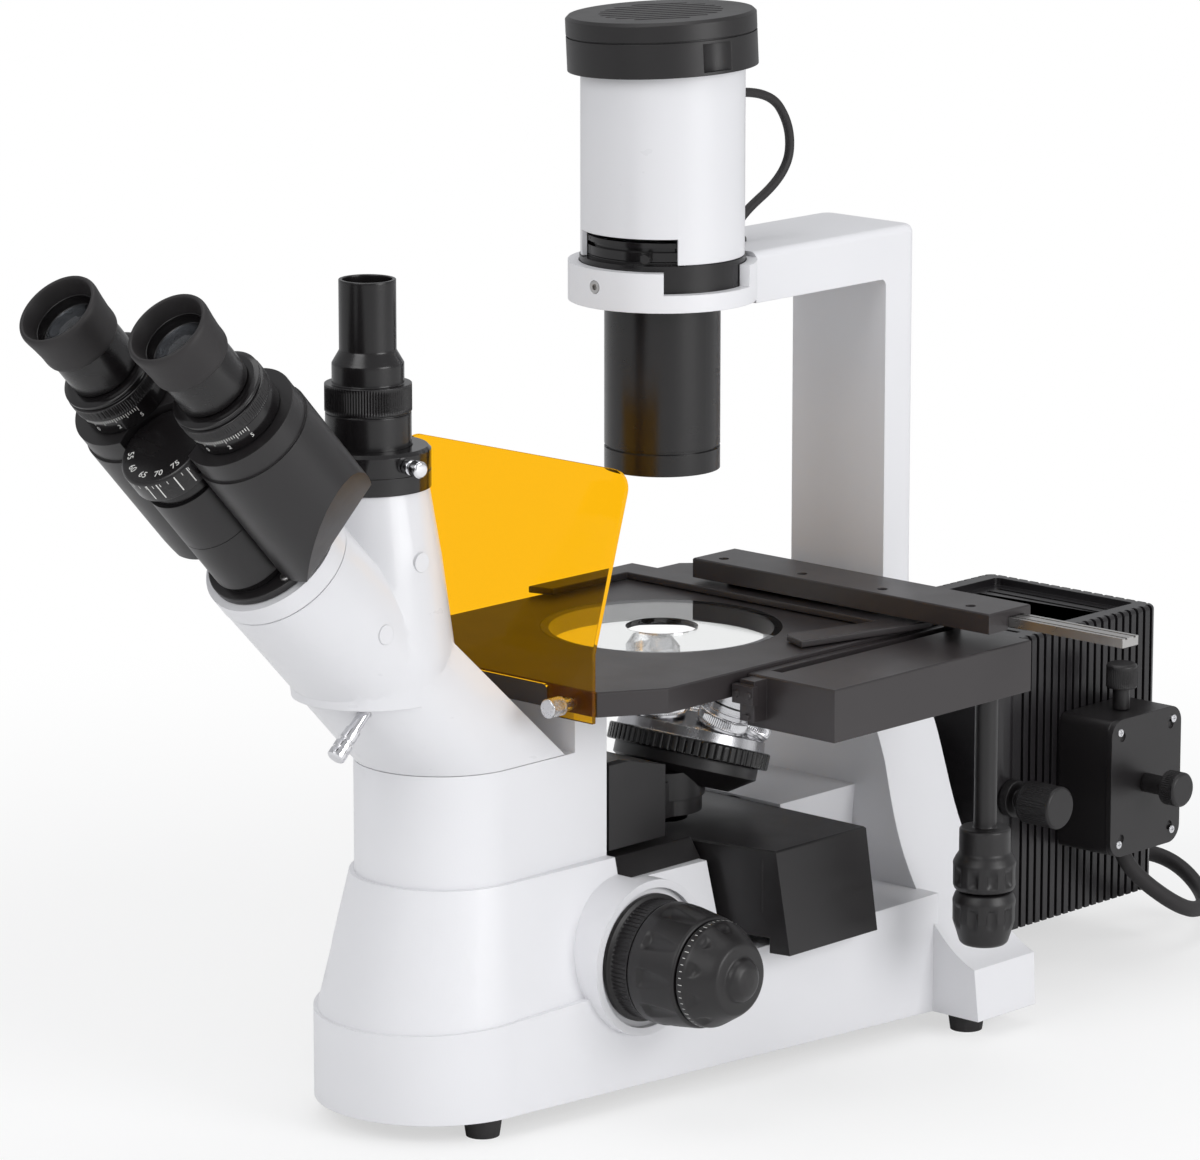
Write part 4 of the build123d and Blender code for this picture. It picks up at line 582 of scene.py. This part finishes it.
# Castings and plates with eased edges
for node, look, width in (
        ("base_casting", "white_satin", 1.4), ("pillar_arm", "white_satin", 1.2),
        ("head_housing", "white_gloss", 1.2),
        ("lamp_tube", "white_gloss", 0.6), ("stage_plate", "black_stage", 0.8),
        ("stage_extension", "black_stage", 0.8),
        ("x_bar", "black_stage", 0.6), ("filter_housing", "black_satin", 0.8),
        ("nosepiece_carrier", "black_satin", 0.8),
        ("deck_cover", "black_satin", 0.8), ("socket_box", "black_satin", 1.0),
        ("lamp_house", "lamp_black", 1.0),
        ("prism_housing_right", "black_satin", 1.2), ("prism_housing_left", "black_satin", 1.2),
        ("lamp_cap", "black_plastic", 0.6), ("specimen_holder", "black_stage", 0.5),
        ("bottom_plate", "black_satin", 0.5),
        ("power_switch", "black_plastic", 0.4), ("power_inlet", "black_plastic", 0.5),
        ("photo_clamp", "black_gloss", 0.5),
        ("iris_lever", "black_gloss", 0.3), ("filter_slider", "black_anodised", 0.4),
        ("shield", "orange", 0.35)):
    softened(node + "_body", node, look, width)

# Eyepieces, diopter rings and the lenses in them
for side, name in ((1, "right"), (-1, "left")):
    eye = hinge.lifted(0.0, x=side * EYE_SPAN / 2, y=EYE_UP)
    body = "eye_" + name
    barrel = turned("eyepiece_barrel_" + name, "black_anodised", body, eye,
                    [(0, 50), (9, 50), (9, -8), (11.6, -8), (11.6, 23.25), (16.4, 23.25), (17, 24), (17, 44),
                     (15.6, 44), (15.6, 57), (15, 57), (14, 52), (0, 52)], around=96)
    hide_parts("eyepiece_" + name)
    turned("eyecup_" + name, "rubber", body, eye,
           [(17.1, 43), (18.4, 43.2), (18.8, 45), (18.8, 50), (19.3, 56), (20, 62), (20, 64), (19.2, 65.5),
            (17.8, 65.5),
            (17, 63), (15.6, 58), (15.2, 56), (15.2, 43)], around=96, corner=0.8)
    turned("eyepiece_lens_" + name, "coated", body, eye,
           [(0, 55.4), (5, 55.0), (10, 53.8), (14.6, 51.6), (14.6, 50.2), (0, 50.2)], around=96, corner=0.2)
    diopter = turned("diopter_ring_body_" + name, "black_gloss", "diopter_" + name, eye,
                     [(13.85, 3.3), (21.6, 3.3), (21.6, 12.5), (22.4, 13), (22.4, 19.5), (21, 20), (21, 20.8),
                      (22, 21.2), (22, 22.4), (19.6, 23.2), (13.85, 23.2)], around=540, step=1.0, corner=0.3,
                     relief=ribbed(13.2, 19.4, 120, 0.45))
    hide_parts("diopter_ring_" + name)
    scale = Marks()
    band_r = 21.6
    wrap = round_wrap(eye, band_r)
    for k in range(-20, 21):
        scale.stroke(wrap, band_r * (math.radians(-90) + k * 0.055), 11.2 if k % 5 else 10.7, 0.26,
                     1.8 if k % 5 else 2.8)
    for k, text in ((-2, "5"), (-1, "2"), (0, "0"), (1, "2"), (2, "5")):
        scale.word(wrap, text, band_r * (math.radians(-90) + k * 0.55), 6.6, 3.2)
    scale.piece("diopter_scale_" + name, "white_mark", "diopter_" + name)

# Hinge of the head: end plate, shaft and the dial between the housings
dial = turned("distance_dial", "black_anodised", "stand", hinge,
              [(0, -12.5), (22, -12.5), (22, -1.2), (20.8, 0), (0, 0)], around=240, corner=0.5)
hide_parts("hinge_shaft")
turned("hinge_end_plate", "black_satin", "stand", head_axis.lifted(-87.7),
       [(0, 0), (30.5, 0), (30.5, 3.7), (0, 3.7)], around=144, corner=0.6)
turned("hinge_shaft_body", "black_anodised", "stand", hinge,
       [(0, -87.7), (18, -87.7), (18, -12.4), (0, -12.4)], around=96)
screws([hinge.lifted(-84.1, x=22.5, y=-5.0), hinge.lifted(-84.1, x=-22.5, y=-5.0)], 2.6, 1.3, "hex").piece(
    "hinge_plate_screws", "steel", "stand")
DIAL_R = 22.0
FIGURE_R = 16.8
dial_scale = Marks()
for angle in (-78, -64, -40, -22, -8, 6):
    dial_scale.stroke(round_wrap(hinge, DIAL_R), DIAL_R * math.radians(angle), -6.0, 0.55, 9.0)
for k in range(36):
    dial_scale.stroke(round_wrap(hinge, DIAL_R), DIAL_R * math.radians(10.0 * k + 90), -2.6, 0.3, 1.8)
for k, text in enumerate(("55", "60", "65", "70", "75")):
    angle = math.radians(-150 + 30 * k)
    spot = hinge.lifted(0.03, x=FIGURE_R * math.cos(angle), y=FIGURE_R * math.sin(angle))
    turned_spot = Place(spot.o, hinge.x * -math.sin(angle) + hinge.y * math.cos(angle), hinge.z)
    dial_scale.word(turned_spot.points, text, 0.0, 0.0, 4.6)
dial_scale.piece("distance_scale", "white_mark", "stand")

# Path selector: prism carrier and its stepped pull rod
ROD_UP, ROD_SIDE = -173.0, 20.0
prism = Parts().slab(hinge.lifted(ROD_UP - 12, y=-3), rectangle(24, 22), 24).piece(
    "selector_prism_carrier", "black_anodised", body_of["path_selector"])
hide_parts("path_selector")
rod = Place(hinge.lifted(ROD_UP, x=ROD_SIDE).o, (1, 0, 0), -hinge.y)
turned("selector_pull_rod", "chrome", body_of["path_selector"], rod,
       [(0, 8), (3, 8), (3, 27), (3.8, 27), (3.8, 33), (3.2, 33), (3.2, 35), (4.4, 35), (4.4, 38.2),
        (3.9, 38.4),
        (3.9, 39.2), (4.4, 39.4), (4.4, 42.6), (3.6, 43.4), (0, 43.4)], around=96, corner=0.15)

# Photo port
port = level(310.9, 0, -201.4)
tube = turned("camera_tube_body", "black_anodised", "stand", port,
              [(13, 2.3), (25, 2.3), (25, 14), (20, 15.6), (20, 34.5), (19.4, 34.5), (19.4, 35.3),
               (20.3, 35.3),
               (20.3, 48.3), (16.8, 48.3), (16.8, 57.7), (13.3, 63.7), (13.3, 96.6), (11.6, 96.6),
               (11.6, 62), (13, 58)],
              around=384, step=1.0, relief=ribbed(36.2, 47.6, 96, 0.45))
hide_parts("photo_tube")
screw_axis = Place((29 * 0.99, -201.4 - 29 * 0.139, 324), (0.139, 0.99, 0), (0.99, -0.139, 0))
thumb = turned("photo_clamp_thumb_screw", "chrome", "clamp_screw", screw_axis,
               [(0, -3.6), (2.05, -3.6), (2.05, 0.3), (3.6, 0.3), (3.6, 4), (2.4, 4.4), (2.4, 5.4), (4, 6),
                (4, 10.5),
                (3.2, 11.3), (0, 11.3)], around=64)
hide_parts("photo_clamp_screw")

# Thumb screws of the shield
for side, name in ((1, "right"), (-1, "left")):
    seat = across(-128.4, side * 59.0, 204.0)
    screw = turned("shield_thumb_screw_" + name, "satin_chrome", "shield_screw_" + name, seat,
                   [(0, -9), (2.0, -9), (2.0, 0), (3.2, 0), (3.2, 6), (4.6, 6.4), (4.6, 15.4), (4, 16),
                    (0, 16)],
                   around=160, step=1.0, relief=ribbed(6.8, 15.2, 40, 0.3))
    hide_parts("shield_screw_" + name)

# Strain reliefs where the cords leave the housings
for name, place, outline in (
        ("lamp_cable_relief_upper", facing(0, 0, 468.0),
         [(2.4, 38.6), (3.7, 38.6), (3.7, 39.7), (6, 40.1), (6, 42.2), (4.6, 46), (3.6, 51), (2.4, 51)]),
        ("lamp_cable_relief_lower", level(395.0, 0, 52.0),
         [(2.4, -5), (3.7, -5), (3.7, 0), (6, 0), (6, 1.5), (4.4, 4.2), (3.4, 8), (2.4, 8)]),
        ("burner_lead_relief_upper", Place((75, 271, 63.0), (1, 0, 0), (0, 0, -1)),
         [(4.3, -4), (5.2, -4), (5.2, 0), (6.5, 0.1), (6.5, 1.5), (5.4, 6), (4.3, 6)]),
        ("burner_lead_relief_lower", facing(323.0, 16.0, 34.5),
         [(4.3, -3.4), (5.2, -3.4), (5.2, 0), (7, 0.1), (7, 2), (5.5, 8), (4.3, 8)])):
    relief_piece = turned(name, "rubber", "stand", place, outline, around=48)
    if name == "lamp_cable_relief_upper":
        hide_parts("cable_glands")

# Nosepiece: ribbed rim, and a knurled ring and two bands on each objective
NOSE_TILT = math.radians(18.0)
nosepiece = Place((0, 0, 86.0), (1, 0, 0), (0, math.sin(NOSE_TILT), math.cos(NOSE_TILT)))
turret_body = body_of["nosepiece_turret"]


def wide_ribs(count, depth, low, high):
    """Broad ribs with narrow grooves between them, between two heights."""
    def relief(height, angle, radius):
        groove = np.clip(1 - 3.2 * (1 - wave(angle, count)), 0, 1)
        return radius - depth * groove * within(height, low, high, 0.4) * (radius > 39.6)
    return relief


turned("nosepiece_rim", "black_anodised", turret_body, nosepiece,
       [(38.2, 59.8), (39.9, 59.8), (40.5, 60.4), (40.5, 67.6), (39.9, 68.2), (38.2, 68.2)], around=528,
       step=1.2,
       corner=0.3, relief=wide_ribs(66, 0.9, 60.2, 67.8))
for k in range(5):
    angle = math.radians(-90 + 72 * k)
    lean = math.sin(NOSE_TILT)
    aim = (nosepiece.x * lean * math.cos(angle) + nosepiece.y * lean * math.sin(angle)
           + nosepiece.z * math.cos(NOSE_TILT))
    seat = Place(nosepiece.o + aim * 81.3, np.cross(aim, (0, 0, 1)), aim)
    turned("objective_grip_%d" % (k + 1), "chrome", turret_body, seat,
           [(11.9, 1.2), (12.6, 1.2), (12.9, 1.5), (12.9, 6.6), (12.6, 6.9), (11.9, 6.9)], around=288,
           step=0.8,
           corner=0.15, relief=ribbed(1.6, 6.5, 72, 0.45))
    turned("objective_band_%d" % (k + 1), "black_gloss", turret_body, seat,
           [(12.0, 12.6), (12.26, 12.6), (12.26, 13.6), (12.0, 13.6)], around=96, corner=0.05)

# Screws of the stage bar, the socket box and the base
screws([level(225.1, x, 81.4) for x in (-32, 20, 72, 128)], 2.3, 1.2, "hex").piece(
    "bar_screws", "black_anodised", body_of["x_bar"])
screws([along(91.9, y, z) for y in (247, 291) for z in (69, 128)], 2.1, 0.8, "cross").piece(
    "socket_box_screws", "chrome", "stand")
under_plate = [Place((x, y, 10.0), (1, 0, 0), (0, 0, -1)) for x in (-40, 40) for y in (-40, 60)]
screws(under_plate, 2.6, 1.0, "cross").piece("bottom_plate_screws", "steel", "stand")

# Focus tension ring, knurled on its rim
tension = turned("tension_ring_body", "black_plastic", body_of["tension_ring"], along(66.4, -83, 73),
                 [(12, 0), (31, 0), (31, 2.2), (29, 3), (29, 13.1), (12, 13.1)], around=480, step=0.9,
                 corner=0.3,
                 relief=ribbed(3.2, 12.6, 80, 0.7))
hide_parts("tension_ring")

# Focus knobs
FOCUS_Y, FOCUS_Z = -83.0, 73.0
FINE_SCALE_R = 25.75
for side, start, name in ((1, 80.0, "right"), (-1, 69.7, "left")):
    knob = Place((side * start, FOCUS_Y, FOCUS_Z), (0, 1, 0), (side, 0, 0))
    coarse = turned("coarse_knob_" + name, "black_plastic", "coarse", knob,
                    [(5.05, 0), (28.7, 0), (29.5, 0.8), (29.5, 8), (27, 26), (26, 27), (24.5, 27),
                     (24.5, 23), (5.05, 23)],
                    around=360, step=1.4, corner=0.8, relief=dimpled(6, 30, 10, 34.0, 7.0, 24.6))
    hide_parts("coarse_knobs")
    fine_start = start + 27.4
    knob = Place((side * fine_start, FOCUS_Y, FOCUS_Z), (0, 1, 0), (side, 0, 0))
    fine = turned("fine_knob_" + name, "black_plastic", "fine", knob,
                  [(0, 0), (24.9, 0), (25.9, 1), (25.5, 5), (18.9, 16), (16.9, 18.5), (11, 19), (10, 21.5),
                   (7, 23.8),
                   (3, 24.6), (0, 24.6)], around=360, step=1.4, corner=0.9,
                  relief=dimpled(6, 40, 10, 26.4, 4.6, 12.0, math.pi / 10))
    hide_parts("fine_drive")
    fine_scale = Marks()
    wrap = round_wrap(knob, FINE_SCALE_R)
    for k in range(50):
        fine_scale.stroke(wrap, FINE_SCALE_R * math.radians(7.2 * k), 3.0 if k % 5 else 3.3, 0.3,
                          1.6 if k % 5 else 2.4)
    fine_scale.piece("fine_scale_" + name, "white_mark", "fine")

# Coaxial stage controls
for name, body, outline, low, high in (
        ("y_control", "y_knob", [(3.55, 200.5), (3.55, 84.9), (10, 84.9), (14.6, 85.6), (15.5, 88),
                                 (15.5, 99), (14, 102),
                                 (12.6, 104), (12.6, 115.5), (11.8, 116.3), (5.6, 116.3), (5.6, 200.5)],
                                 88, 97),
        ("x_control", "x_knob", [(0, 57.6), (10.5, 57.6), (12, 59), (13.5, 64), (15.5, 70), (15.5, 80),
                                 (14, 84),
                                 (12.5, 84.5), (3.5, 84.5), (3.5, 205), (0, 205)], 67, 78)):
    control = turned(name + "_body", "black_plastic", body, level(0, 133.5, 88.0), outline, around=240,
                     step=1.6,
                     corner=0.7, relief=dimpled(low, high, 10, 17.8, 3.8, 11.0, 0.0, 1.5))
    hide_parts(name)

# Lamp house knobs
for name, body, place, outline, low, high in (
        ("collector_knob", "collector", along(58.3, 200, 97),
         [(0, -10), (3, -10), (3, 0), (9.5, 0), (9.5, 5), (5, 5.6), (5, 11), (10.5, 11.5), (11, 12.5),
          (11, 32), (10, 33),
          (0, 33)], 13, 31),
        ("centring_knob_side", "centring_side", along(92.3, 269, 98),
         [(0, -9), (3, -9), (3, 0), (5, 0), (5, 14), (9, 14.5), (9, 23), (8, 24), (0, 24)], 15, 22.6),
        ("centring_knob_top", "centring_top", level(134.3, 75, 269),
         [(0, -8), (3, -8), (3, 0), (4.5, 0), (4.5, 11), (8, 11.5), (8, 23), (7, 24), (0, 24)], 12, 22.6)):
    control = turned(name + "_body", "black_plastic", body, place, outline, around=192, step=1.5,
                     relief=ribbed(low, high, 48, 0.35))
    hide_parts(name)

# Stage: floor, backdrop and light
WHITE_ROOM = 1.0
floor_mesh = bpy.data.meshes.new("studio_floor")
span = 9.0
floor_mesh.from_pydata([(-span, -span, 0), (span, -span, 0), (span, span, 0), (-span, span, 0)], [],
                       [(0, 1, 2, 3)])
floor = bpy.data.objects.new("studio_floor", floor_mesh)
bpy.context.scene.collection.objects.link(floor)
ground = Finish("pale_floor")
looked_at = ground.node("ShaderNodeMath", {"operation": "MAXIMUM"},
                        {0: ground.node("ShaderNodeLightPath", {}, {}, "Is Camera Ray"),
                         1: ground.node("ShaderNodeLightPath", {}, {}, "Is Transmission Ray")})
plain = ground.node("ShaderNodeBsdfDiffuse", {}, {"Color": (0.92, 0.92, 0.92, 1)})
shine = ground.node("ShaderNodeEmission", {}, {"Color": (1, 1, 1, 1), "Strength": 1.0})
away = ground.node("ShaderNodeVectorMath", {"operation": "LENGTH"}, {0: ground.place}, 1)
far_off = ground.node("ShaderNodeMapRange", {"interpolation_type": "SMOOTHSTEP"},
                      {0: away, 1: 0.35, 2: 1.0, 3: 0.60, 4: 1.0})
mixed = ground.node("ShaderNodeMixShader", {}, {0: looked_at * far_off, 1: plain, 2: shine})
ground_out = ground.tree.nodes.new("ShaderNodeOutputMaterial")
ground.tree.links.new(mixed.socket, ground_out.inputs["Surface"])
floor_mesh.materials.append(ground.material)

world = bpy.data.worlds.new("white_room")
bpy.context.scene.world = world
world.use_nodes = True
room = world.node_tree
room.nodes.clear()
rays = room.nodes.new("ShaderNodeLightPath")
seen = room.nodes.new("ShaderNodeMath")
seen.operation = "MAXIMUM"
room.links.new(rays.outputs["Is Camera Ray"], seen.inputs[0])
room.links.new(rays.outputs["Is Transmission Ray"], seen.inputs[1])
soft = room.nodes.new("ShaderNodeBackground")
soft.inputs["Color"].default_value = (0.97, 0.98, 1.0, 1)
soft.inputs["Strength"].default_value = 0.52
bright = room.nodes.new("ShaderNodeBackground")
bright.inputs["Color"].default_value = (1, 1, 1, 1)
bright.inputs["Strength"].default_value = WHITE_ROOM
choice = room.nodes.new("ShaderNodeMixShader")
room.links.new(seen.outputs[0], choice.inputs[0])
room.links.new(soft.outputs[0], choice.inputs[1])
room.links.new(bright.outputs[0], choice.inputs[2])
room_out = room.nodes.new("ShaderNodeOutputWorld")
room.links.new(choice.outputs[0], room_out.inputs["Surface"])


def lamp(name, spot, aim, size, power):
    """A square soft box that looks at a point."""
    light = bpy.data.lights.new(name, "AREA")
    light.size, light.energy = size, power
    holder = bpy.data.objects.new(name, light)
    bpy.context.scene.collection.objects.link(holder)
    holder.location = spot
    holder.rotation_euler = (Vector(aim) - Vector(spot)).to_track_quat("-Z", "Y").to_euler()


lamp("key_box", (0.2, -2.3, 1.9), (0.0, 0.0, 0.25), 1.5, 23)
lamp("side_box", (2.4, 0.3, 1.0), (0.0, 0.1, 0.2), 1.4, 30)
lamp("top_box", (-0.3, 0.2, 2.4), (0.0, 0.0, 0.2), 1.6, 12)
